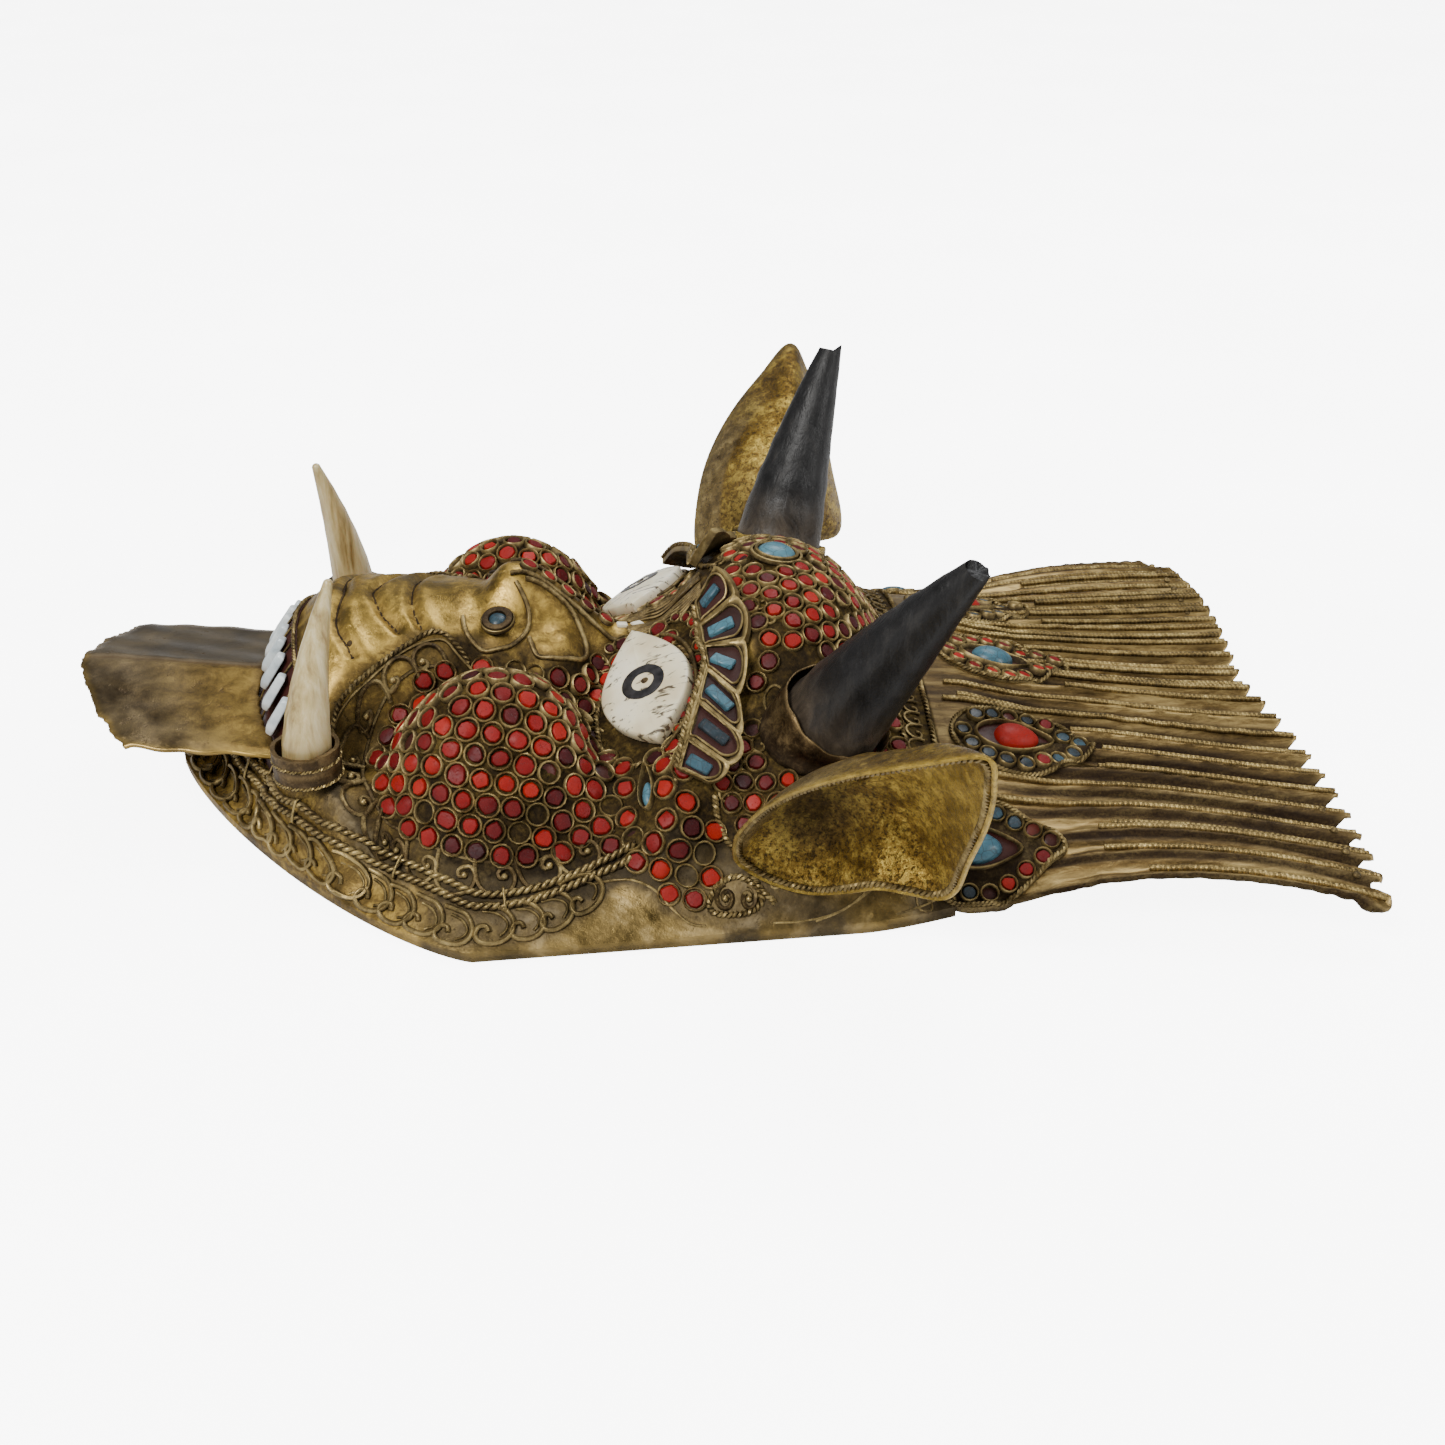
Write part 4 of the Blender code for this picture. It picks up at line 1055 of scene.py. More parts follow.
NEAR_CORAL = [
    (-86.5, -40), (-85.5, -34), (-81, -29.5), (-74, -25), (-66, -22.5), (-57, -21.5), (-50, -21.8),
              (-43, -22),
    (-36.5, -19.8), (-34.0, -12.5), (-29.5, -7.6), (-22, -7), (-14, -9), (-11, -15), (-10.2, -24),
              (-11.6, -34),
    (-14.6, -43), (-13.5, -52), (-11.5, -60), (-4, -67.0), (-8, -77), (-13, -79), (-20, -73.5), (-27, -66.5),
              (-32, -63.2),
    (-38, -65.2), (-47, -67.2), (-58, -68), (-69, -64.5), (-78, -58.8), (-85, -50)]
NEAR_FOREHEAD = [
    (2.0, 4), (3.0, -12), (5, -18), (7.4, -24), (6.8, -31), (6.2, -38), (3.5, -46), (-1.5, -53), (-6, -61),
                 (-2, -66), (6, -67), (14, -65),
    (25, -63), (34, -58), (40, -48), (41, -30), (40, -15), (40, 4)]
LID_ROW = [(-12.0, -7.4), (-8.4, -11.5), (-7.3, -17), (-7.0, -24), (-8.4, -31), (-10.6, -38), (-13.2, -45),
           (-15.2, -51)]
EYE_AT = (-21.0, -29.5)
DROP_AT = (-20.7, -56.2)
GEM_AT = (13.5, 0.0)
HORN_AT = (20.5, -44.0)
# Half lengths and half widths of the places that stay clear round the eye, the drop, the gem and the horn
EYE_CLEAR = (12.8, 19.3)
DROP_CLEAR = (4.5, 8.2)
GEM_CLEAR = (8.2, 7.2)
HORN_CLEAR = (15.6, 15.6)
MIDDLE_GAP = (1.0, 2.6)


def clear_of(x, y, at, reach):
    """Whether a place is outside an oval."""
    return hypot((x - at[0]) / reach[0], (y - at[1]) / reach[1]) >= 1


def coral_allowed(x, y):
    if not inside(NEAR_CORAL, x, y):
        return False
    return clear_of(x, y, DROP_AT, DROP_CLEAR) and clear_of(x, y, EYE_AT, EYE_CLEAR)


def forehead_allowed(x, y):
    if y > 0.1 or not inside(NEAR_FOREHEAD, x, y) or MIDDLE_GAP[0] < -y < MIDDLE_GAP[1]:
        return False
    return clear_of(x, y, GEM_AT, GEM_CLEAR) and clear_of(x, y, HORN_AT, HORN_CLEAR)


KINDS = ("coral", "turquoise", "resin")


def bezel_piece(name, shape, heights):
    """A piece of bezels: painted shade with patina round their feet and inside, worn metal along their tops.
    """
    thing = new_piece(name, shape, "wire", "aged_brass", sharp=50)
    levels = heights * (len(thing.data.vertices) // len(heights))
    set_masks(thing, hollow=by_level(levels, (1.0, 0.12, 0.0, 0.30, 1.0)),
              rubbed=by_level(levels, (0.0, 0.7, 1.0, 0.6, 0.0)))


def stone_piece(name, shape, paint, tones, replaces=()):
    """A piece of clean stones, each vertex with its stone's tone."""
    slot = "turquoise" if paint == "turquoise" else "coral"
    new_piece(name, shape, paint, slot, replaces, sharp=40, tone=tones, hollow=0.0)


def set_stones(name, places, size, dice, paints, tall, wire):
    """Bezels and their stones over a bed; some stones are lost and the cell shows brown resin."""
    rings = bmesh.new()
    stones = {kind: (bmesh.new(), []) for kind in KINDS}
    for x, y in places:
        centre, first, second, up = frame_at(x, y)
        here = size * dice.uniform(0.93, 1.02)
        squash = dice.uniform(0.94, 1.04)
        turn = dice.uniform(0, pi)
        one = (first * cos(turn) + second * sin(turn)) * squash
        two = (second * cos(turn) - first * sin(turn)) / squash
        heights = ring_of(rings, centre, one, two, up, here, wire, tall * dice.uniform(0.85, 1.15))
        kind = dice.choices(KINDS, paints)[0]
        shape, tones = stones[kind]
        if kind == "resin":
            made = stone_of(shape, centre, one, two, up, here - 0.55, 0.35, 0.05, dice, 8, 0.04, 0.03)
        else:
            made = stone_of(shape, centre, one, two, up, (here - wire - 0.1) * dice.uniform(0.84, 0.99),
                            tall * dice.uniform(0.8, 1.12), 0.0, dice, 9)
        tones.extend([dice.random() ** 0.8] * made)
        WIRE_SPOTS.extend((x + here * cos(turn), y + here * sin(turn))
                          for turn in (pi * part / 18 for part in range(36)))
    bezel_piece(name + "_bezels", rings, heights)
    for kind, (shape, tones) in stones.items():
        if tones:
            stone_piece("%s_%s" % (name, kind), shape, kind, tones)
        else:
            shape.free()


# Ropes, scrolls and edging

def rim_path(last_along):
    """The near rim in the plan, from the chin to a share of the way to the hairline."""
    path = [(FACE_START, 0.0)]
    for step in range(1, 121):
        along = (step / 120) ** 1.6
        if along <= last_along:
            path.append((mix(FACE_START, FACE_END, along), -HALF_WIDTH * half_width(along)))
    return smooth_line(path, 1.0)


def spiral(x, y, heading, size, hand):
    """A C scroll in the plan: an arc of 1.4 turns that curls into its middle."""
    points = []
    for step in range(21):
        share = step / 20
        angle = heading + hand * (share * 1.4 * 2 * pi - 0.25 * pi)
        reach = size * (1 - share) ** 0.75 + size * 0.10
        points.append((x + reach * cos(angle), y + reach * sin(angle)))
    return points


def both_sides(lines):
    return [mirrored(line, side) for line in lines for side in SIDES]


def joined_over_middle(near):
    """A near line that starts on the middle line, carried over to the far side as one."""
    return [(x, -y) for x, y in reversed(near[1:])] + near


CHEEK_END = 0.443
JAW_ROPE = [(-62, -73.7), (-55.9, -74.3), (-46.6, -72.8), (-37.3, -69.8), (-30, -67.0), (-24, -65.9)]
ROPE_INSETS = (12.0, 15.3)


def rope_plan(inset):
    """Middle line of a jaw rope: along the rim, then rising below the ear."""
    rim = rim_path(CHEEK_END)
    path = [over_sheet(rim, along, inset) for along in range(0, len(rim) - 1, 4)]
    aside = (ROPE_INSETS[1] - inset) * 0.85
    path = [(x, y) for x, y in path if x < -67] + [(x - aside * 0.3, y - aside * 0.95) for x, y in JAW_ROPE]
    return [(spot.x, spot.y) for spot in smooth_line(path, 0.5)]


def add_ropes():
    """Two thick ropes inside the jaw's edge, with clips over both of them."""
    ropes = on_face([joined_over_middle(rope_plan(inset)) for inset in ROPE_INSETS], 0.9, 0.36)
    twisted_wires("jaw_ropes", ropes, 0.52, 3.9, 0.58, 0.7, 2.0, 1)
    clips = []
    for side in SIDES:
        outer = mirrored(rope_plan(10.9), side)
        inner = mirrored(rope_plan(16.4), side)
        for index in range(60, len(outer) - 20, 60):
            (x, y), (far, wide) = outer[index], min(inner, key=lambda spot: math.dist(spot, outer[index]))
            clips.append(smooth_line([FACE_RELIEF.point(x, y, 0.1), FACE_RELIEF.point(x, y, 1.9),
                                      FACE_RELIEF.point(far, wide, 1.9), FACE_RELIEF.point(far, wide, 0.1)],
                                     0.7 * MM))
    lay_wires("rope_clips", clips, 0.32, 0.0, 1.6)


def finish_wire(thing, low, high):
    """Painted shade with patina low down on a wire where it meets the sheet, and worn metal on its top, by
    height above the sheet.
    """
    spots = vertex_array(thing.data)
    hollow = np.zeros(len(spots))
    for index, spot in enumerate(spots):
        x, y = on_plan(spot)
        above = (spot[2] / MM - FACE_RELIEF.z(x, y)) * FACE_RELIEF.normal(x, y).z
        hollow[index] = clamp(1 - (above - low) / max(high - low, 0.01))
    set_masks(thing, hollow=hollow ** 1.3 * 0.85, rubbed=np.clip(1 - hollow * 2.2, 0, 1))


# One scroll of each kind, as steps along its row and inwards from it, in millimetres
RIM_SCROLL = [(-4.4, 8.8), (-1.9, 9.0), (1.3, 8.4), (3.8, 6.8), (4.8, 4.7), (4.2, 2.7), (2.2, 1.3),
              (-0.6, 0.9), (-3.1, 1.5),
              (-4.0, 2.9), (-3.2, 4.4), (-1.5, 4.5), (-0.9, 3.3)]
RIM_LINING = [(-2.2, 7.6), (0.6, 7.1), (2.6, 5.9), (3.4, 4.6), (2.9, 3.3), (1.4, 2.4)]
CHEEK_SCROLL = [(-4.2, 3.9), (-4.0, 1.4), (-3.0, -1.2), (-1.0, -3.0), (1.4, -3.1), (3.3, -1.8), (3.9, 0.2),
                (3.1, 1.9),
                (1.5, 2.1), (0.6, 1.1), (1.1, 0.1), (1.9, 0.4)]
SMALL_SCROLL = [(-2.3, 1.9), (-2.4, 0.2), (-1.5, -1.3), (0.1, -1.8), (1.6, -1.1), (2.1, 0.3), (1.3, 1.3),
                (0.2, 1.0), (0.2, 0.2)]


def beside(path, along, inward):
    """Plan place that far along a path and that far inwards from it."""
    step = (path[1] - path[0]).length
    index = int(clamp(along / step, 0, len(path) - 2))
    way = (path[min(index + 2, len(path) - 1)] - path[max(index - 2, 0)]).normalized()
    spot = path[index] + way * (along - index * step)
    return spot.x - way.y * inward, spot.y + way.x * inward


def over_sheet(path, along, inward):
    """Plan place that far in from a path, measured over the slope of the sheet."""
    step = math.copysign(0.3, inward)
    walked, reach = 0.0, 0.0
    x, y = beside(path, along, 0.0)
    height = FACE_RELIEF.z(x, y)
    while walked < abs(inward):
        reach += step
        x, y = beside(path, along, reach)
        walked += hypot(step, FACE_RELIEF.z(x, y) - height)
        height = FACE_RELIEF.z(x, y)
    return x, y


def units_along(path, shape, pitch, dice, size=1.0, steep=False, first=2.0):
    """The same small scroll again and again along a path."""
    lines = []
    along = first
    last = (path[1] - path[0]).length * (len(path) - 1)
    while along < last:
        here = size * dice.uniform(0.92, 1.07)
        place = over_sheet if steep else beside
        lines.append([place(path, along + step * here, inward * here) for step, inward in shape])
        along += pitch * dice.uniform(0.93, 1.07)
    return lines


RIM_PITCH = 8.2
SMALL_PITCH = 4.7


def add_rim_scales(dice):
    """Scrolls like scales along the jaw's edge, doubled on their round side, and long leaf scrolls."""
    leaf_path = smooth_line([(-62, -86.0), (-54, -85.4), (-46, -84.0), (-38, -80.6), (-31, -76.6)], 0.8)
    scrolls, linings = [], []
    for path, size, steep, first in ((rim_path(CHEEK_END - 0.02), 1.1, True, 2.0),
                                     (leaf_path, 1.0, False, 5.0)):
        state = dice.getstate()
        scrolls += units_along(path, RIM_SCROLL, RIM_PITCH, dice, size, steep, first)
        dice.setstate(state)
        linings += units_along(path, RIM_LINING, RIM_PITCH, dice, size, steep, first)
    lay_wires("rim_scales", on_face(both_sides(scrolls), 0.8, 0.6), 0.68, 0.2, 1.5)
    lay_wires("rim_linings", on_face(both_sides(linings), 0.45, 0.6), 0.42, 0.0, 1.0)


def add_filigree(dice):
    """Scrolls between the ropes and the cheek, and finer ones over the brow, temples and hairline."""
    row = smooth_line([(-71, -20.9), (-78.9, -24.6), (-86.8, -29.5), (-92.6, -36.2), (-93.4, -43.7),
                       (-90.4, -51.5), (-85.0, -57.3), (-76.6, -63.6), (-67.4, -69.3), (-58.2, -71.2),
                       (-48.9, -70.3), (-39.6, -67.6), (-30.5, -64.3)], 0.5)
    bend = len(row) * 48 // 100
    big = both_sides(units_along(row[:bend], CHEEK_SCROLL, 7.9, dice, 1.02, True, 3.5)
                     + units_along(row[bend:], CHEEK_SCROLL, 10.0, dice, 1.22, True, 1.5)
                     + [spiral(-3.6, -76.8, 2.4, 2.2, 1), spiral(1.6, -77.2, 0.9, 1.9, -1)])
    foot = [(-70, -22.6), (-77, -24.6), (-83.4, -28.4), (-88.4, -34), (-90.0, -40.5), (-88.0, -48.6),
            (-82.4, -55.9), (-73, -62.9),
            (-63, -67.6), (-53, -68.6), (-43, -66.8), (-35, -64.2), (-29, -61)]
    lay_wires("cheek_scrolls", on_face(big, 0.6, 0.6), 0.64, 0.4, 2.1)
    lay_wires("cheek_feet", [laid(foot, side, 0.3, 0.8) for side in SIDES], 0.48, 0.3, 1.9)
    beads = bmesh.new()
    for line in big:
        seat = FACE_RELIEF.point(*line[-1], 0.75)
        bmesh.ops.create_icosphere(beads, subdivisions=1, radius=1.0 * MM, matrix=Matrix.Translation(seat))
    finish_wire(new_piece("scroll_beads", beads, "wire", "aged_brass"), 0.1, 1.4)
    lines = []
    for path in (((45.4, 0), (45.2, -20), (45.0, -40), (44.2, -60), (43.0, -78)),
                 ((38, -67), (28, -70), (16, -73), (8, -75)),
                 ((-2, -0.8), (0.5, -5), (4, -13), (8.6, -20), (11.4, -27)),
                 ((10.4, -37), (6.8, -47), (1.6, -54.6), (-5, -60))):
        lines += both_sides(units_along(smooth_line(path, 0.5), SMALL_SCROLL, SMALL_PITCH, dice, 1.0, True))
    lay_wires("fine_scrolls", on_face(lines, 0.42, 0.5), 0.40, 0.0, 1.1)


SWEEPS = ([(7, -81.0), (14, -80.6), (22, -79.2), (30, -75.8), (35, -72.2)],
          [(17, -80.6), (24, -78.6), (29.5, -75.6), (33, -72.8)],
          [(36, -79.4), (43, -78.2), (49.3, -76.4)], [(49.9, -70), (49.9, -76), (50.0, -78.4)])


def add_edgings():
    """Ropes and plain wires round the muzzle, nose, eyes, brows, ear roots and hairline."""
    ropes, plain, thick, folds, lids, milled = [], [], [], [], [], []
    chevron = [(-97.5, -38), (-96.5, -33), (-92.2, -29.4), (-87.7, -26.3), (-82.5, -22.6), (-76.9, -18.9),
               (-71.5, -16.8),
               (-67, -19.5), (-64.5, -21.5)]
    outer_chevron = [(-98.6, -40), (-97.6, -35), (-92.9, -31.0), (-88.3, -27.9), (-83.1, -24.2),
                     (-77.3, -20.5), (-71.0, -18.6),
                     (-67.0, -20.9), (-63.5, -22.4)]
    wing = [(-52.6, -5.3), (-49.7, -9.7), (-50.6, -13.9), (-54.6, -18.6), (-60.3, -19.3), (-64.5, -17.0),
            (-66, -12)]
    petal = [(-50.3, -4.4), (-45.5, -3.9), (-39.4, -5.0), (-35.8, -10.4), (-37.6, -16.9), (-42.0, -19.8),
             (-47.3, -18.8),
             (-49.6, -15.0)]
    bridge = [(-54, -3.6), (-48, -2.9), (-40, -3.2), (-33, -4.0), (-27.5, -5.2), (-23, -5.5)]
    eye_ring = oval_line(12.2, 18.6, 0, 32)
    brow = [(-1.5, -2.5), (-4.4, -8.1), (-4.6, -14), (-4.2, -19.7), (-4.9, -25.4), (-7.6, -35.1),
            (-11.3, -42.7), (-13.4, -52.0),
            (-14.5, -60)]
    ear_root = [(-5.4, -59.4), (-5.1, -62.7), (-3.0, -66.3), (-0.6, -69.3), (2.2, -73.0), (4.8, -76.1),
                (7.7, -78.1)]
    ear_patch = [(-7.8, -77.6), (-5.6, -74.6), (-1.3, -73.4), (2.6, -75.0), (4.7, -77.7), (0.7, -79.6),
                 (-6.0, -79.4),
                 (-7.8, -77.6)]
    plain_sheet = [(-35, -72.6), (-28, -72.0), (-20, -74.8), (-13, -80.5), (-8.5, -81.5)]
    forehead_edge = [(41.5, 0), (41.5, -12), (40.6, -24), (41.5, -36), (42, -50), (37, -61), (26, -66),
                     (12, -69.5), (2, -70.5)]
    for side in SIDES:
        ropes += [laid(line, side, 0.45, 0.3) for line in (chevron, brow, forehead_edge, eye_ring)]
        milled += [laid(line, side, 0.7, 0.35) for line in (ear_root, ear_patch)]
        thick += [laid(line, side, 0.5, 0.8) for line in (wing, petal, bridge)]
        plain += [laid(line, side, 0.4, 0.8) for line in (outer_chevron, plain_sheet, *SWEEPS)]
        folds += [laid(line, side, 0.05, 0.8) for line in MUZZLE_FOLDS]
        lids.append(laid(oval_line(13.4, 20.0, -6, 6), side, 1.3, 0.8))
        for number in range(6):
            share = number / 5
            line = [(-25 + 1.5 * share, mix(-1.2, -6.0, share)), (-19, mix(-1.4, -6.6, share)),
                    (-12, mix(-1.7, -7.6, share)),
                    (-5.5, mix(-1.4, -5.4, share))]
            plain.append(laid(line, side, 0.35, 0.8))
    root = [(49.6, -79.3 + 158.6 * step / 60) for step in range(61)]
    ropes.append(smooth_line(on_sheet(root, 0.5), 0.3 * MM))
    twisted_wires("fine_ropes", ropes, 0.38, 2.9, 0.42, 0.3, 1.4)
    twisted_wires("ear_root_ropes", milled, 0.46, 2.3, 0.46, 0.3, 1.6)
    lay_wires("eye_lids", lids, 0.62, 0.6, 2.6, 2)
    lay_wires("nose_wires", thick, 0.66, 0.2, 1.5, 2)
    lay_wires("muzzle_folds", folds, 0.34, 0.3, 1.6, 1, "collar")
    lay_wires("plain_wires", plain, 0.42, 0.0, 1.0)


def lay_wires(name, lines, radius, low, high, sides=1, paint="wire"):
    """Round wires on the face, with painted shade and patina up to a height above the sheet and worn metal
    above another.
    """
    finish_wire(add_wires(name, lines, radius, paint, "aged_brass", sides), low, high)


def twisted_wires(name, lines, radius, pitch, wire, low, high, sides=0):
    """Two strand ropes along many lines."""
    strands = [strand for line in lines for strand in twisted(line, radius, pitch)]
    lay_wires(name, strands, wire, low, high, sides)


def oval_line(reach_x, reach_y, first, last):
    """An arc round the near eye, in sixteenths of a half turn."""
    return [(EYE_AT[0] + reach_x * cos(pi * step / 16), EYE_AT[1] + reach_y * sin(pi * step / 16))
            for step in range(first, last + 1)]


# Fittings

def reach_at(relief, row):
    """First and last filled place along one row of a relief, before it was filled outwards."""
    known = np.flatnonzero(~np.isnan(relief[:, row]))
    return (int(known[0]), int(known[-1])) if len(known) else None


def add_tongue():
    """The bent tongue: ragged edge, a crease down its middle, one half dull and one golden."""
    relief = Relief((-172, -38, -100, 38), 0.75)
    relief.read(node_tree("tongue"))
    ends = {}
    for row in range(relief.ny):
        found = reach_at(relief.heights, row)
        if found:
            ends[row] = found
    low_row, high_row = min(ends), max(ends)
    relief.soften(2).fill()
    rows, columns = 64, 90
    dice = random.Random(SEED + 1)
    waves = [(dice.uniform(0.15, 1.1), dice.uniform(0, 6.28), dice.uniform(0.1, 0.45)) for _ in range(7)]
    shape = bmesh.new()
    made = bmesh.ops.create_grid(shape, x_segments=rows, y_segments=columns, size=1.0)
    masks = []
    for vert in made["verts"]:
        share, u = (vert.co.x + 1) / 2, vert.co.y
        edge_wave = sum(size * (0.5 + 0.5 * sin(u * 30 * rate + turn)) for rate, turn, size in waves)
        place = mix(low_row, high_row, (u + 1) / 2)
        row = int(clamp(round(place), low_row, high_row))
        first, last = ends[row]
        tip = relief.x0 + first * relief.step
        root = relief.x0 + last * relief.step - 0.1
        tip += 0.6 + edge_wave * 0.9
        x = mix(tip, root, share)
        side_wave = 0.5 * sin(share * 9 + 1) + 0.4 * sin(share * 21)
        y = relief.y0 + place * relief.step
        y *= 1 - 0.018 * abs(u) * (1 + side_wave)
        z = relief.z(x, y)
        z -= 0.55 * math.exp(-(y / 0.8) ** 2)
        z += 0.16 * sin(x * 0.55 + y * 0.2) * (1 - share) + 0.10 * sin(y * 0.5 + x * 0.16)
        z -= 0.5 * ease((abs(u) - 0.9) / 0.1) + 0.5 * ease((0.06 - share) / 0.06)
        vert.co = world(x, y, z - 0.35)
        # Painted shade with patina along the crease and at the root; worn metal on the side edges and the
        # tip; tin on one half.
        groove = math.exp(-(y / 1.1) ** 2)
        masks.append((clamp(groove * 0.75 + 0.5 * ease((share - 0.93) / 0.07)),
                      clamp(ease((abs(u) - 0.94) / 0.06) + ease((0.05 - share) / 0.05)),
                      0.95 if y > 0.5 else mix(0.75, 0.1, ease((share - 0.25) / 0.6))))
    turn_up(shape)
    thing = new_piece("tongue_sheet", shape, "tongue", "tongue_brass", ("tongue",))
    hollow, rubbed, tinned = zip(*masks)
    set_masks(thing, hollow=hollow, rubbed=rubbed, tinned=tinned)
    thicken(thing, 0.9 * MM)


TOOTH_COUNT = 10
TOOTH_PITCH = 6.2
# The mouth's row of teeth reaches from the one place to the other along the middle line
MOUTH_OUTER = -120.6
MOUTH_INNER = -108.6


def mouth_arch(y):
    """How far the mouth's row bends back at a place across it."""
    return 8.0 * (abs(y) / 38) ** 2


def add_teeth():
    """Ten slanted bars with rounded edges in a red brown bed, with wire between them."""
    for number in range(1, TOOTH_COUNT + 1):
        name = "tooth_%02d" % number
        shape = node_shape(name)
        bmesh.ops.dissolve_limit(shape, angle_limit=0.03, verts=shape.verts, edges=shape.edges)
        bmesh.ops.bevel(shape, geom=shape.edges[:], offset=0.55 * MM, segments=3, profile=0.5, affect="EDGES",
                        offset_type="OFFSET", clamp_overlap=True, material=-1)
        low = min(vert.co.z for vert in shape.verts)
        high = max(vert.co.z for vert in shape.verts)
        foot = [(vert.co.z - low) / max(high - low, 1e-6) for vert in shape.verts]
        # Painted shade with patina at the foot of each bar.
        new_piece(name + "_bar", shape, "tooth", "tooth_white", (name,), sharp=50,
                  hollow=[clamp(0.6 - share * 1.6) for share in foot])
    bed = bmesh.new()
    made = bmesh.ops.create_grid(bed, x_segments=14, y_segments=60, size=1.0)
    for vert in made["verts"]:
        y = vert.co.y * 33.5
        x = mix(MOUTH_OUTER, MOUTH_INNER, (vert.co.x + 1) / 2) + mouth_arch(y)
        vert.co = FACE_RELIEF.point(x, y, 0.30 + 0.25 * sin((vert.co.x + 1) * pi / 2))
    turn_up(bed)
    thing = new_piece("mouth_bed", bed, "resin", "coral", tone=0.5, hollow=0.2)
    thicken(thing, 0.4 * MM)
    lines, ropes = [], []
    for number in range(-TOOTH_COUNT // 2, TOOTH_COUNT // 2 + 1):
        y = number * TOOTH_PITCH
        arch = mouth_arch(y)
        lines.append(smooth_line([FACE_RELIEF.point(-120.3 + arch, y, 1.0),
                                  FACE_RELIEF.point(-114.6 + arch, y, 1.3),
                                  FACE_RELIEF.point(-109.4 + arch, y * 0.99, 1.0)], 0.8 * MM))
    for start in (MOUTH_OUTER, MOUTH_INNER - 0.2):
        line = [(start + mouth_arch(y), y) for y in range(-33, 34, 3)]
        ropes += on_face([smooth_line(line, 0.6)], 0.9, 0.3)
    twisted_wires("mouth_ropes", ropes, 0.3, 2.0, 0.33, 0.2, 1.3)
    lay_wires("mouth_cells", lines, 0.32, 0.2, 1.5)


def slices(name, way, count):
    """Centres and radii of a node cut square to a direction, from its low end to its tip."""
    shape = node_shape(name)
    ends = [vert.co.dot(way) for vert in shape.verts]
    low, high = min(ends), max(ends)
    rings = []
    for step in range(count):
        level = mix(low, high, mix(0.012, 0.985, step / (count - 1)))
        cut = shape.copy()
        geom = cut.verts[:] + cut.edges[:] + cut.faces[:]
        kept = bmesh.ops.bisect_plane(cut, geom=geom, plane_co=way * level, plane_no=way)["geom_cut"]
        spots = [item.co.copy() for item in kept if isinstance(item, bmesh.types.BMVert)]
        cut.free()
        if len(spots) < 3:
            continue
        centre = (Vector([min(s[axis] for s in spots) for axis in range(3)])
                  + Vector([max(s[axis] for s in spots) for axis in range(3)])) / 2
        centre += way * (level - centre.dot(way))
        rings.append((centre, sum((spot - centre).length for spot in spots) / len(spots)))
    shape.free()
    return rings


def spike(name, piece, way, paint, slot, sides, rows, ripple, caps, dice):
    """A tusk or horn along the middle line of its node, with growth ripples and a splintered or worn tip."""
    rings = slices(name, way, rows)
    shape = bmesh.new()
    first = way.cross(Vector((0, 1, 0))).normalized()
    second = way.cross(first)
    phases = [dice.uniform(0, 6.28) for _ in range(5)]
    end = len(rings) - 1

    def place(turn, level):
        centre, radius = rings[min(level, end)]
        share = level / end
        out = first * cos(turn) + second * sin(turn)
        if level > end:
            scale, rise = caps[level - end - 1]
            return centre + out * (radius * scale) + way * (radius * rise)
        swell = 1 + ripple * (sin(3 * turn + phases[0] + share * 2) + 0.6 * sin(7 * turn + phases[1])
                              + 0.5 * sin(share * 46 + phases[2] + sin(turn)))
        lift = 0.0
        if level == end and len(caps) == 1:
            lift = 0.45 * sin(2 * turn + phases[3]) + 0.35 * sin(5 * turn + phases[4]) - 0.6
            lift = (lift * 0.5 - 1.1 * (0.5 - 0.5 * out.x)) * radius
        return centre + out * (radius * min(swell, 1.02)) + way * lift

    add_tower(shape, sides, end + len(caps), place, True)
    close_ends(shape)
    level = [vert.co.dot(way) for vert in shape.verts]
    low, high = min(level), max(level)
    rooted = (high - low) * 0.34
    new_piece(piece, shape, paint, slot, (name,), sharp=70,
              root=[ease(1 - (value - low) / rooted) for value in level])
    return rings


SPLINTERED = ((0.0, -0.9),)
WORN = ((0.8, 0.45), (0.45, 0.7), (0.0, 0.78))


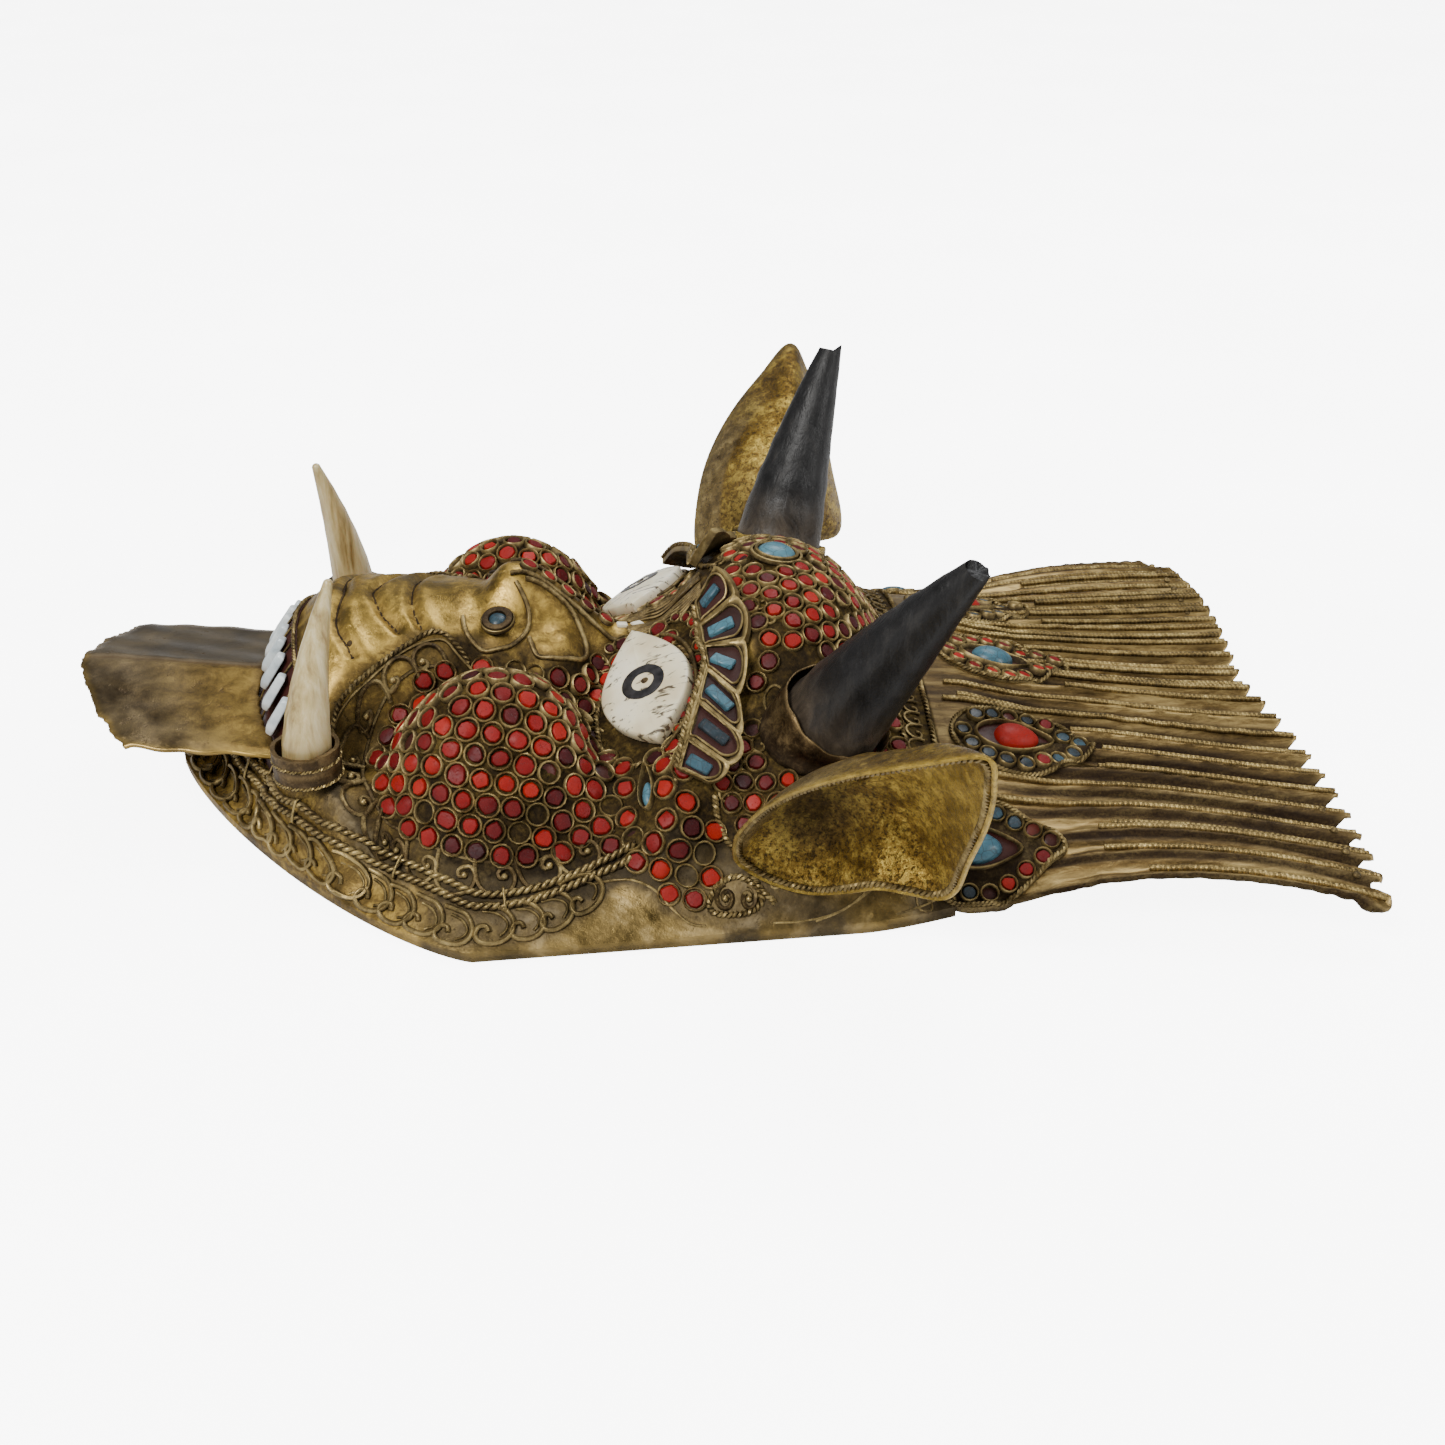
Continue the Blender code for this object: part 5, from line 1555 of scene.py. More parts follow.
def add_tusks(dice):
    """Bone tusks in their cups of rolled brass, a thin rope round each cup's foot and waist."""
    profile = ((0.0, 0.0), (0.02, 0.0), (0.02, 0.30), (0.06, 0.45), (0.03, 0.6), (0.0, 0.92), (0.0, 1.0),
               (1.05, 1.0),
               (1.15, 0.9), (1.2, 0.25), (3.0, 0.2))
    for side_name, side in NAMED_SIDES:
        spike("tusk_" + side_name, "tusk_bone_" + side_name, Vector((0, 0, 1)), "tusk", "bone", 30, 26, 0.012,
              WORN, dice)
        low, high = box_of("tusk_cup_" + side_name)
        foot = Vector(((low.x + high.x) / 2, (low.y + high.y) / 2, low.z))
        radius = (high.x - low.x) / 2 / MM - 0.1
        tall = (high.z - low.z) / MM

        def around(turn, reach, height, foot=foot):
            return foot + Vector((reach * cos(turn), reach * sin(turn), height)) * MM

        def place(turn, level):
            inward, rise = profile[level]
            ragged = 0.12 * sin(5 * turn + side) + 0.10 * sin(11 * turn) if 0.85 < rise <= 1.0 else 0.0
            return around(turn, radius - inward, rise * (tall - 0.35) + ragged)

        shape = bmesh.new()
        levels = add_tower(shape, 44, len(profile), place)
        close_ends(shape)
        # Painted shade with patina at the cup's foot, inside its lip and round its waist; worn metal on its
        # raised bands.
        new_piece("tusk_socket_" + side_name, shape, "collar", "aged_brass", ("tusk_cup_" + side_name,),
                  hollow=[0.7 if row < 2 or row > 8 else (0.5 if row == 4 else 0.1) for row in levels],
                  rubbed=[0.9 if row in (6, 7, 3) else 0.2 for row in levels])
        rings = [smooth_line([around(turn / 24 * pi, radius - 0.15, height) for turn in range(49)], 0.3 * MM)
                 for height in (0.5, tall * 0.6)]
        twisted_wires("tusk_ropes_" + side_name, rings, 0.26, 1.8, 0.28, -4.0, -3.0)


def add_horns(dice):
    """Dark horns and the creased brass sheets wrapped round their roots."""
    skin = node_tree("face_shell")
    for side_name, lean, paint in (("left", (0.431, -0.33, 0.847), "collar"),
                                   ("right", (0.215, 0.255, 0.935), "ear")):
        lean = Vector(lean).normalized()
        root, radius = spike("horn_" + side_name, "horn_black_" + side_name, lean, "horn", "dark_horn", 40,
                             34, 0.016,
                             SPLINTERED, dice)[0]
        radius += 1.6 * MM
        first = lean.cross(Vector((0, 1, 0))).normalized()
        second = lean.cross(first)
        phases = [dice.uniform(0, 6.28) for _ in range(8)]

        def place(turn, row):
            share = row / 8
            out = first * cos(turn) + second * sin(turn)
            top = root + out * radius + lean * (3.6 * MM)
            hit = skin.ray_cast(top + lean * 0.004, -lean)[0]
            foot = hit + lean * 0.0006 if hit is not None else root + out * radius
            crease = (sin(turn * 9 + phases[0] + share * 3) * 0.24
                      + sin(turn * 17 + phases[1] - share * 4) * 0.17
                      + sin(share * 12 + phases[2] + 2 * sin(turn * 3)) * 0.20)
            edge = 0.0
            if row == 8:
                edge = 0.45 * sin(turn * 4 + phases[3]) + 0.3 * sin(turn * 11 + phases[4]) - 0.6
            spot = foot.lerp(top, share)
            return spot + out * (crease * sin(pi * clamp(share + 0.15)) * MM) + lean * (edge * MM)

        shape = bmesh.new()
        levels = add_tower(shape, 84, 9, place)
        face_outwards(shape)
        shape.faces.ensure_lookup_table()
        probe = shape.faces[84 * 4]
        if probe.normal.dot(probe.calc_center_median() - root) < 0:
            bmesh.ops.reverse_faces(shape, faces=shape.faces)
        # Painted shade with patina at the foot of the collar, fading upwards; worn metal on its top edge.
        thing = new_piece("horn_collar_sheet_" + side_name, shape, paint, "aged_brass",
                          ("horn_collar_" + side_name,), hollow=[clamp(0.85 - row * 0.22) for row in levels],
                          rubbed=[clamp((row - 6) * 0.5) for row in levels], tinned=0.0)
        thicken(thing, 0.5 * MM)


def box_shift(points, name):
    """How far to move points so that their middle meets the node's middle."""
    low, high = box_of(name)
    mine_low = Vector([min(point[axis] for point in points) for axis in range(3)])
    mine_high = Vector([max(point[axis] for point in points) for axis in range(3)])
    return (low + high) / 2 - (mine_low + mine_high) / 2


EAR_RIM = (
    (0.0, 0.0), (0.10, -0.066), (0.22, -0.104), (0.36, -0.128), (0.50, -0.129), (0.66, -0.106),
           (0.83, -0.058),
    (1.0, 0.0), (0.93, 0.09), (0.78, 0.20), (0.59, 0.307), (0.455, 0.386), (0.372, 0.402), (0.315, 0.343),
    (0.25, 0.285), (0.148, 0.259), (0.042, 0.217), (-0.015, 0.13), (-0.02, 0.05),
)
EAR_LENGTH = 87.5
EAR_DEPTH = 17.0
EAR_HEART = (0.34, 0.09)


def add_ears():
    """Brass scoops with a smooth flange along their upper edge and a milled wire just inside the rim."""
    leans = {"left": ((0.501, -0.583, 0.639), (0.747, 0.095, -0.665)),
             "right": ((0.35, 0.70, 0.60), (0.80, -0.10, -0.42))}
    for side_name, side in NAMED_SIDES:
        length_way = Vector(leans[side_name][0]).normalized()
        width_way = Vector(leans[side_name][1])
        width_way = (width_way - length_way * width_way.dot(length_way)).normalized()
        depth_way = length_way.cross(width_way)
        if depth_way.y * side > 0:
            depth_way = -depth_way
        rim = [Vector((far, wide, 0)) for far, wide in EAR_RIM]
        loop = smooth_line(rim[-1:] + rim + rim[:2], 0.012)
        half = len(loop) // 2
        start = min(range(half), key=lambda index: (loop[index] - rim[0]).length)
        finish = min(range(half, len(loop)), key=lambda index: (loop[index] - rim[0]).length)
        loop = loop[start:finish]
        count = len(loop)
        heart = Vector((*EAR_HEART, 0))

        def place(edge, scale):
            spot = heart + (edge - heart) * scale
            sink = EAR_DEPTH * (1 - scale ** 2.4)
            return (length_way * spot.x + width_way * spot.y) * (EAR_LENGTH * MM) + depth_way * (sink * MM)

        tried = [place(edge, scale) for edge in rim for scale in (1.0, 0.82, 0.55, 0.24)]
        tried.append(place(heart, 0.0))
        tried += [spot + depth_way * 1.2 * MM for spot in tried]
        shift = box_shift(tried, "ear_" + side_name)
        steps = 30

        def scale_at(level):
            return 1.0 - (level / steps) ** 0.85

        def seat(turn, level):
            index = corner_of(turn, count)
            scale = scale_at(level)
            around = index / count * 2 * pi
            dent = 0.35 * sin(around * 5 + scale * 9) * sin(pi * scale)
            dent += 0.22 * sin(around * 13 + scale * 17)
            if scale > 0.86:
                dent *= 0.2
            return place(loop[index], scale * 0.994) + shift + depth_way * (dent * 0.6 * MM)

        shape = bmesh.new()
        levels = add_tower(shape, count, steps, seat, True)
        face_outwards(shape)
        shape.normal_update()
        deep = next(vert for vert, level in zip(shape.verts, levels) if level == steps)
        if deep.normal.dot(depth_way) > 0:
            bmesh.ops.reverse_faces(shape, faces=shape.faces)
        thing = new_piece("ear_scoop_" + side_name, shape, "ear", "ear_brass", ("ear_" + side_name,),
                          sharp=70)
        root = place(rim[0], 1.0) + shift
        hollow, rubbed, flange = [], [], []
        for vert, level in zip(thing.data.vertices, levels):
            scale = scale_at(level)
            way = (vert.co - root) / (EAR_LENGTH * MM)
            far, wide = way.dot(length_way), way.dot(width_way)
            # Painted shade: the deep part of the scoop by its root is darkened, and a thin dark line runs
            # just inside the rim wire.
            deep_share = ease((0.95 - scale) / 0.45) * ease((0.52 - far) / 0.42) * ease((0.26 - wide) / 0.16)
            hollow.append(clamp(deep_share * 0.95 + 0.8 * math.exp(-((scale - 0.93) / 0.012) ** 2)))
            upper = ease((0.01 - wide) / 0.04) * ease((0.80 - far) / 0.35)
            flange.append(upper * ease((scale - 0.70) / 0.05) * 0.9)
            # Painted highlight: the far, lower part of the scoop, which faces the light, is brightened along
            # with the worn rim.
            polished = ease((far - 0.45) / 0.3) * ease((wide - 0.02) / 0.1)
            rubbed.append(clamp(clamp((scale - 0.975) * 30) + 0.7 * polished))
        set_masks(thing, hollow=hollow, rubbed=rubbed, tinned=flange)
        thicken(thing, 0.8 * MM)
        inside_rim = [place(edge, 0.955) + shift - depth_way * (0.45 * MM) for edge in loop + loop[:1]]
        add_wires("ear_wire_" + side_name, twisted(smooth_line(inside_rim, 0.3 * MM), 0.46, 2.6), 0.44,
                  "wire", "ear_brass", 0, hollow=0.15, rubbed=0.6)


EYE_TILT = (radians(28.5), radians(18.0))


def add_eyes():
    """Thick bone almonds with an inlaid black ring round a pale middle with a small hole."""
    profile = ((1.0, -3.5), (1.0, -1.1), (0.985, -0.72), (0.955, -0.5), (0.9, -0.28), (0.82, -0.02),
               (0.7, 0.3), (0.55, 0.6),
               (0.4, 0.74), (0.25, 0.8), (0.1, 0.8))
    for side_name, side in NAMED_SIDES:
        along = Vector((cos(EYE_TILT[0]), 0.0, sin(EYE_TILT[0])))
        across = Vector((0.0, side * cos(EYE_TILT[1]), -sin(EYE_TILT[1])))
        up = along.cross(across).normalized()
        if up.z < 0:
            up = -up
        across = up.cross(along) if side < 0 else along.cross(up)

        def place(scale, depth, turn):
            far = cos(turn)
            wide = math.copysign(1.0 - abs(far) ** 1.9, sin(turn))
            way = across * (far * 20.25 * scale) + along * (wide * (1.0 - 0.14 * far) * 12.25 * scale)
            return (way + up * depth) * MM

        corners = [place(scale, depth, 2 * pi * step / 20)
                   for scale, depth in ((1.0, -3.6), (1.0, -0.8), (0.86, -0.1),
                                        (0.45, 0.8)) for step in range(20)]
        shift = box_shift(corners, "eye_" + side_name)

        def on_plate(turn, level):
            scale, depth = profile[level]
            worn = 0.05 * sin(turn * 6 + scale * 5) if depth > -1 else 0.0
            return place(scale, depth + worn, turn) + shift

        shape = bmesh.new()
        levels = add_tower(shape, 72, len(profile), on_plate)
        close_ends(shape)
        # Painted shade with patina on the sides of the bone near its foot.
        thing = new_piece("eye_bone_" + side_name, shape, "bone", "bone", ("eye_" + side_name,), sharp=50,
                          hollow=[(0.75, 0.12, 0.30, 0.0)[min(level, 3)] for level in levels])
        tree = BVHTree.FromObject(thing, bpy.context.evaluated_depsgraph_get())
        lean = radians(24)
        major = along * cos(lean) - across * sin(lean)
        minor = up.cross(major)
        middle = shift + (across * -1.5 + along * 0.3) * MM

        def inlay(name, paint, steps, aside, reach_1, reach_2, closed):
            """Levels of a low round inlay, laid on the bone."""
            def on_eye(turn, level):
                reach, lift = steps[level]
                spot = middle + (major * (aside + reach_1 * reach * cos(turn))
                                 + minor * (aside * 0.6 + reach_2 * reach * sin(turn))) * MM
                hit = tree.ray_cast(spot + up * 0.01, -up)[0]
                return (hit if hit is not None else spot) + up * (lift * MM)

            made = bmesh.new()
            add_tower(made, 48, len(steps) - closed, on_eye, closed)
            face_outwards(made)
            return new_piece(name + side_name, made, paint, "dark_horn", sharp=50)

        ring = ((1.0, -0.12), (1.0, 0.12), (0.95, 0.18), (0.58, 0.18), (0.52, 0.10), (0.52, -0.12))
        inlay("eye_ring_", "black", ring, 0.0, 5.9, 5.4, False)
        pupil = ((1.0, -0.1), (1.0, 0.10), (0.7, 0.13), (0.0, 0.05))
        set_masks(inlay("eye_pupil_", "collar", pupil, 0.5, 1.0, 0.9, True), hollow=0.4, rubbed=0.0)


BROW_OUTER = ((0.740, 0.135, 0.965), (0.765, 0.285, 0.845), (0.748, 0.475, 0.665), (0.744, 0.625, 0.545),
              (0.706, 0.70, 0.475))
BROW_INNER = ((0.7165, 0.150, 0.825), (0.714, 0.285, 0.760), (0.711, 0.405, 0.735), (0.691, 0.555, 0.645),
              (0.675, 0.675, 0.51))


def on_curve(points, share):
    """A place at a share of a smooth curve through a few places."""
    spans = len(points) - 1
    spot = clamp(share) * spans
    index = min(int(spot), spans - 1)
    return curve_point(*(Vector(points[clamp(index + step, 0, spans)]) for step in (-1, 0, 1, 2)),
                       spot - index)


def add_brows(dice):
    """Flame shaped plates with a row of deep brown cells, turquoise bars in them and wire round each."""
    cells = 6
    for side_name, side in NAMED_SIDES:
        def landmark(points, share):
            far, wide, rise = on_curve(points, share)
            return Vector((far * 194.0, side * wide * HALF_WIDTH, rise * 62.0)) * MM

        def edges(share):
            inner = landmark(BROW_INNER, share)
            outer = landmark(BROW_OUTER, share)
            width = (outer - inner).normalized()
            lobe = abs(sin(pi * cells * share))
            outer = outer + width * ((2.8 + 1.3 * (lobe ** 0.6 - 1.0)) * MM)
            ahead, behind = landmark(BROW_INNER, clamp(share + 0.04)), landmark(BROW_INNER,
                                                                                clamp(share - 0.04))
            face = (ahead - behind).cross(width)
            face.normalize()
            if face.z < 0:
                face = -face
            return inner, outer, face

        tried = []
        for step in range(19):
            inner, outer, face = edges(step / 18)
            tried += [inner, outer, inner + face * 2.2 * MM, outer + face * 2.2 * MM]
        shift = box_shift(tried, "brow_" + side_name)
        shape = bmesh.new()
        steps, wide = 120, 22
        around = wide + 3

        def in_cell(share, w):
            phase = (share * cells) % 1.0
            wall = min(phase, 1 - phase) * 2
            return ease((wall - 0.10) / 0.10) * ease((w - 0.10) / 0.06) * ease((0.93 - w) / 0.06)

        def on_plate(turn, level):
            index = corner_of(turn, around)
            inner, outer, face = edges(level / steps)
            if index > wide:
                return (outer if index == wide + 1 else inner) + face * (0.1 * MM) + shift
            w = index / wide
            return inner.lerp(outer, w) + face * ((2.1 - 0.9 * in_cell(level / steps, w)) * MM) + shift

        levels = add_tower(shape, around, steps + 1, on_plate)
        mesh = tower(around, steps + 1, False)[0]
        corners = [corner_of(math.atan2(vert.co.y, vert.co.x), around) for vert in mesh.vertices]
        close_ends(shape)
        thing = new_piece("brow_plate_" + side_name, shape, "wire", "aged_brass", ("brow_" + side_name,),
                          sharp=40)
        # Painted shade with patina on the floors of the cells and on the plate's under side; worn metal on
        # the walls.
        deep = [0.5 if index > wide else in_cell(level / steps, index / wide) for index,
                level in zip(corners, levels)]
        set_masks(thing, hollow=[clamp(share * 1.1) for share in deep],
                  rubbed=[1.0 - share for share in deep])
        resin, bars, wires, tones, resin_tones = bmesh.new(), bmesh.new(), [], [], []
        for cell in range(cells):
            middle = (cell + 0.5) / cells
            arch = []
            for step in range(25):
                turn = pi * (step - 6) / 12
                aside = 0.40 * -cos(clamp(turn, 0, pi))
                w = 0.72 + 0.18 * sin(clamp(turn, 0, pi))
                if step < 6 or step > 18:
                    w = 0.72 - 0.60 * (6 - step if step < 6 else step - 18) / 6
                inner, outer, face = edges(clamp((cell + 0.5 + aside) / cells))
                arch.append(inner.lerp(outer, w) + face * (2.25 * MM) + shift)
            inner, outer, face = edges(middle)
            wires.append(smooth_line([*arch, arch[0]], 0.6 * MM))
            top = sum(arch, Vector()) / len(arch) - face * (0.45 * MM)
            floor = [spot - face * (0.75 * MM) for spot in arch]

            def filling(turn, level, top=top, floor=floor):
                return top if level else floor[corner_of(turn, len(floor))]

            add_tower(resin, len(floor), 1, filling, True)
            resin_tones += [0.15 + 0.3 * dice.random()] * (len(floor) + 1)
            width = (outer - inner).normalized()
            length = face.cross(width)
            reach = (outer - inner).length / MM
            spot = inner.lerp(outer, 0.47) + shift + face * (1.9 * MM)
            turned = Matrix((width, length, face)).transposed().to_4x4()
            bar = Matrix.Translation(spot) @ turned @ Matrix.Diagonal(
                (0.52 * reach * dice.uniform(0.9, 1.05) * MM, 3.3 * dice.uniform(0.85, 1.1) * MM, 1.5 * MM,
                 1.0))
            before = len(bars.verts)
            made = bmesh.ops.create_cube(bars, size=1.0, matrix=bar)["verts"]
            edges_of = {edge for vert in made for edge in vert.link_edges}
            bmesh.ops.bevel(bars, geom=list(edges_of), offset=0.35 * MM, segments=1, profile=0.5,
                            affect="EDGES",
                            material=-1)
            tones += [(0.5, 0.75, 0.8, 0.6, 0.18, 0.45)[cell]] * (len(bars.verts) - before)
        face_outwards(resin)
        new_piece("brow_cells_" + side_name, resin, "resin", "coral", sharp=50, tone=resin_tones, hollow=0.15)
        new_piece("brow_bars_" + side_name, bars, "turquoise", "turquoise", sharp=40, tone=tones, hollow=0.0)
        beads = []
        for step in range(101):
            inner, outer, face = edges(step / 100)
            beads.append(inner + face * (2.2 * MM) + shift)
        strands = twisted(smooth_line(beads, 0.28 * MM), 0.34, 2.4)
        add_wires("brow_rope_" + side_name, strands, 0.38, "wire", "aged_brass", 0, hollow=0.15, rubbed=0.8)
        add_wires("brow_wires_" + side_name, wires, 0.32, "wire", "aged_brass", hollow=0.15, rubbed=0.8)


# Each leaf: its middle on the plan, which way it points, its centre stone and the chances of its round ones
GREY_ROUNDS = (0.12, 0.74, 0.14)
RED_ROUNDS = (0.92, 0.02, 0.06)
MIXED_ROUNDS = (0.60, 0.20, 0.20)
LEAVES = {
    "leaf_setting_middle": (73.5, 0.5, 3, "turquoise", RED_ROUNDS),
    "leaf_setting_left_1": (71.0, -38.0, -3, "coral", GREY_ROUNDS),
    "leaf_setting_right_1": (71.0, 38.0, 3, "coral", GREY_ROUNDS),
    "leaf_setting_left_2": (57.5, -69.0, -4, "turquoise", MIXED_ROUNDS),
    "leaf_setting_right_2": (57.5, 69.0, 4, "turquoise", MIXED_ROUNDS),
}
LEAF_ROUND = 2.3


def drawn_out(turn, point):
    """How far an oval reaches where it is drawn out to a point at one end."""
    return 1 + point * max(cos(turn), 0) ** 6


def oval_bezel(shape, centre, first, second, up, reach_1, reach_2, wire, tall, point=0.0):
    """A strip of metal on edge round a cabochon."""
    steps = ((wire, -0.3), (wire, tall * 0.84), (wire * 0.5, tall), (0.0, tall * 0.84), (0.0, -0.3))

    def place(turn, level):
        grow, rise = steps[level]
        way = first * (cos(turn) * (reach_1 * drawn_out(turn, point) + grow))
        return centre + (way + second * (sin(turn) * (reach_2 + grow)) + up * rise) * MM

    return add_tower(shape, 36, 5, place)


def cabochon(shape, centre, first, second, up, reach_1, reach_2, tall, count=36, point=0.0, dice=None):
    """A smooth domed stone."""
    phase = dice.uniform(0, 6) if dice else 0.0
    rises = (0.0, 0.2, 0.42, 0.62, 0.8, 0.93, 1.0)

    def place(turn, level):
        near = math.sqrt(1 - rises[level] ** 2) * (1 + (0.03 * sin(turn * 3 + phase) if dice else 0.0))
        way = first * (cos(turn) * reach_1 * drawn_out(turn, point) * near)
        return centre + (way + second * (sin(turn) * reach_2 * near) + up * (rises[level] * tall)) * MM

    return len(add_tower(shape, count, 6, place, True))


def leaf_edge(turn):
    """Outline of a leaf: round behind, drawn out to a point in front."""
    front = max(cos(turn), 0.0)
    return 17.0 * cos(turn) * (1 + 0.18 * front ** 3), 12.0 * sin(turn) * (1 - 0.45 * front ** 2)


def add_leaves(dice):
    """Pointed settings over the hair's root: a domed stone in a teardrop bezel, round ones, a rope edge."""
    rims, rounds, big_rims = [], bmesh.new(), bmesh.new()
    stones = {kind: (bmesh.new(), []) for kind in KINDS}
    for name, (x0, y0, lean, paint, chances) in LEAVES.items():
        turned = Matrix.Rotation(radians(lean), 2)

        def spot_at(turn, scale, lift, x=x0, y=y0, turned=turned):
            way = turned @ Vector(leaf_edge(turn)) * scale
            return HAIR_RELIEF.point(x + way.x, y + way.y, lift)

        plate = bmesh.new()
        steps = ((1.0, -1.6), (1.0, 0.1), (0.93, 0.35), (0.6, 0.35), (0.3, 0.35), (0.0, 0.35))
        levels = add_tower(plate, 72, 5, lambda turn, level: spot_at(turn, *steps[level]), True)
        # Painted shade with patina over the plate's top between the stones and down its side; worn metal on
        # its rim.
        new_piece(name + "_plate", plate, "wire", "aged_brass", (name,), sharp=45,
                  hollow=by_level(levels, (0.7, 0.3, 0.9, 1.0, 1.0, 1.0)),
                  rubbed=[0.4 if level == 1 else 0.0 for level in levels])
        rims.append(smooth_line([spot_at(2 * pi * step / 72, 0.965, 0.75) for step in range(73)], 0.3 * MM))
        up = HAIR_RELIEF.normal(x0, y0, 6)
        way = turned @ Vector((1.0, 0.0))
        first = (Vector((*way, 0)) - up * up.dot(Vector((*way, 0)))).normalized()
        second = up.cross(first)
        core = HAIR_RELIEF.point(x0 - way.x * 2.2, y0 - way.y * 2.2, 0.4)
        big_levels = oval_bezel(big_rims, core, first, second, up, 8.2, 4.9, 0.6, 1.7, 0.36)
        shape, tones = stones["resin"]
        tones += [0.35] * cabochon(shape, core, first, second, up, 8.3, 4.9, 0.6, 36, 0.36)
        shape, tones = stones[paint]
        here = core + (first * (1.6 if paint == "coral" else 0.6) + up * 0.4) * MM
        tones += [0.9 if paint == "coral" else 0.62] * cabochon(shape, here, first, second, up, 5.5, 4.2, 3.1,
                                                                36, 0.1, dice)
        spots = []
        for step in range(720):
            far, wide = leaf_edge(2 * pi * step / 720 + pi)
            inset = 1 - (LEAF_ROUND + 1.0) / hypot(far, wide)
            far, wide = far * inset, wide * inset
            reach = 8.2 * (1.3 if far > 0 else 1.0) + LEAF_ROUND + 0.3
            clear = hypot((far + 2.2) / reach, wide / (4.9 + LEAF_ROUND + 0.2)) > 1
            if clear and all(hypot(far - x, wide - y) > LEAF_ROUND * 2.02 for x, y in spots):
                spots.append((far, wide))
        for far, wide in spots:
            way = turned @ Vector((far, wide))
            seat = HAIR_RELIEF.point(x0 + way.x, y0 + way.y, 0.3)
            levels = ring_of(rounds, seat, first, second, up, LEAF_ROUND, 0.45, 1.5)
            kind = dice.choices(KINDS, chances)[0]
            shape, tones = stones[kind]
            made = stone_of(shape, seat, first, second, up, LEAF_ROUND - 0.55,
                            0.5 if kind == "resin" else 1.3, 0.0, dice, 9)
            tones += [dice.uniform(0.05, 0.45) if kind == "turquoise" else dice.uniform(0.3, 1.0)] * made
    strands = [strand for line in rims for strand in twisted(line, 0.32, 2.1)]
    add_wires("leaf_ropes", strands, 0.38, "wire", "aged_brass", 0, hollow=0.2, rubbed=0.6)
    bezel_piece("leaf_bezels", rounds, levels)
    bezel_piece("leaf_centre_bezels", big_rims, big_levels)
    for kind, (shape, tones) in stones.items():
        stone_piece("leaf_stones_" + kind, shape, kind, tones)


def add_single_stones(dice):
    """The turquoise on the forehead in its bezel and the one on each nostril in a thick dark ring."""
    rims, dark_rims, drops, drop_stones = bmesh.new(), bmesh.new(), bmesh.new(), bmesh.new()
    for name, reach, tone in (("forehead_stone", (5.1, 4.1, 2.9), 0.78),
                              ("nostril_stone_left", (2.5, 2.5, 1.5), 0.34),
                              ("nostril_stone_right", (2.5, 2.5, 1.5), 0.34)):
        shape = node_shape(name)
        shape.normal_update()
        low, high = box_of(name)
        centre = (low + high) / 2
        up = FACE_RELIEF.normal(*on_plan(centre), 2.5)
        lowest = max(shape.faces, key=lambda face: face.calc_area() * (-face.normal.dot(up) > 0.9))
        if -lowest.normal.dot(up) > 0.9:
            up = -lowest.normal.copy()
        spots = [vert.co.copy() for vert in shape.verts]
        shape.free()
        levels = [spot.dot(up) for spot in spots]
        floor = [spot for spot, level in zip(spots, levels) if level < min(levels) + 0.0002]
        foot = sum(floor, Vector()) / len(floor)
        seat = (foot, *lying_axes(up))
        gem = bmesh.new()
        made = cabochon(gem, *seat, *reach, 36, 0.0, dice)
        stone_piece(name + "_gem", gem, "turquoise", [tone] * made, (name,))
        if name == "forehead_stone":
            oval_bezel(rims, *seat, reach[0] - 0.15, reach[1] - 0.15, 0.8, 1.5)
            heights = oval_bezel(rims, *seat, reach[0] + 1.1, reach[1] + 1.1, 0.7, 0.9)
        else:
            oval_bezel(dark_rims, *seat, 2.3, 2.3, 1.5, 1.7)
            heights = oval_bezel(rims, *seat, 3.9, 3.9, 0.4, 0.9)
    for side in SIDES:
        (x, y), = mirrored([DROP_AT], side)
        centre, first, second, up = frame_at(x, y)
        way = second * -side
        drop_levels = oval_bezel(drops, centre, way, first, up, 5.0, 1.9, 0.42, 1.8, 0.55)
        made = cabochon(drop_stones, centre - way * (1.2 * MM), way, first, up, 3.3, 1.5, 1.7, 24, 0.2, dice)
    nails = bmesh.new()
    for spot, in both_sides([[(-93.2, -19.6)]]):
        cabochon(nails, *frame_at(*spot), 0.9, 0.9, 0.5, 14)
    new_piece("muzzle_nails", nails, "collar", "aged_brass", hollow=0.9, rubbed=0.0)
    bezel_piece("single_stone_bezels", rims, heights)
    new_piece("nostril_rings", dark_rims, "collar", "aged_brass", sharp=60, hollow=0.55, rubbed=0.15)
    bezel_piece("drop_bezels", drops, drop_levels)
    stone_piece("drop_stones", drop_stones, "turquoise", [0.7] * (2 * made))


def add_nose_stones(dice):
    """The strip of coral over the bridge with its white lozenges, and small reds at its foot."""
    strip = [(mix(-49.5, -30.5, step / 4), 0.0) for step in range(5)]
    foot = [mirrored([spot], side)[0] for spot in ((-29.5, -7.4), (-32.8, -10.2),
                                                   (-30.6, -12.6)) for side in SIDES]
    rings, reds, whites = bmesh.new(), bmesh.new(), bmesh.new()
    tones = []
    for places, size, reach, rise in ((strip, 2.35, 1.85, 1.1), (foot, 1.6, 1.15, 1.0)):
        for x, y in places:
            setting = frame_at(x, y)
            heights = ring_of(rings, *setting, size, 0.42, 0.9)
            tones += [dice.random()] * stone_of(reds, *setting, reach, rise, 0.1, dice, 9)
    for x in (-26.2, -22.2):
        centre, first, second, up = frame_at(x, 0.0)
        stone_of(whites, centre, first * 1.35, second * 0.85, up, 1.5, 0.9, 0.1, dice, 4, 0.02, 0.02)
    bezel_piece("nose_bezels", rings, heights)
    stone_piece("nose_corals", reds, "coral", tones)
    new_piece("nose_whites", whites, "bone", "bone", sharp=40, hollow=0.1)


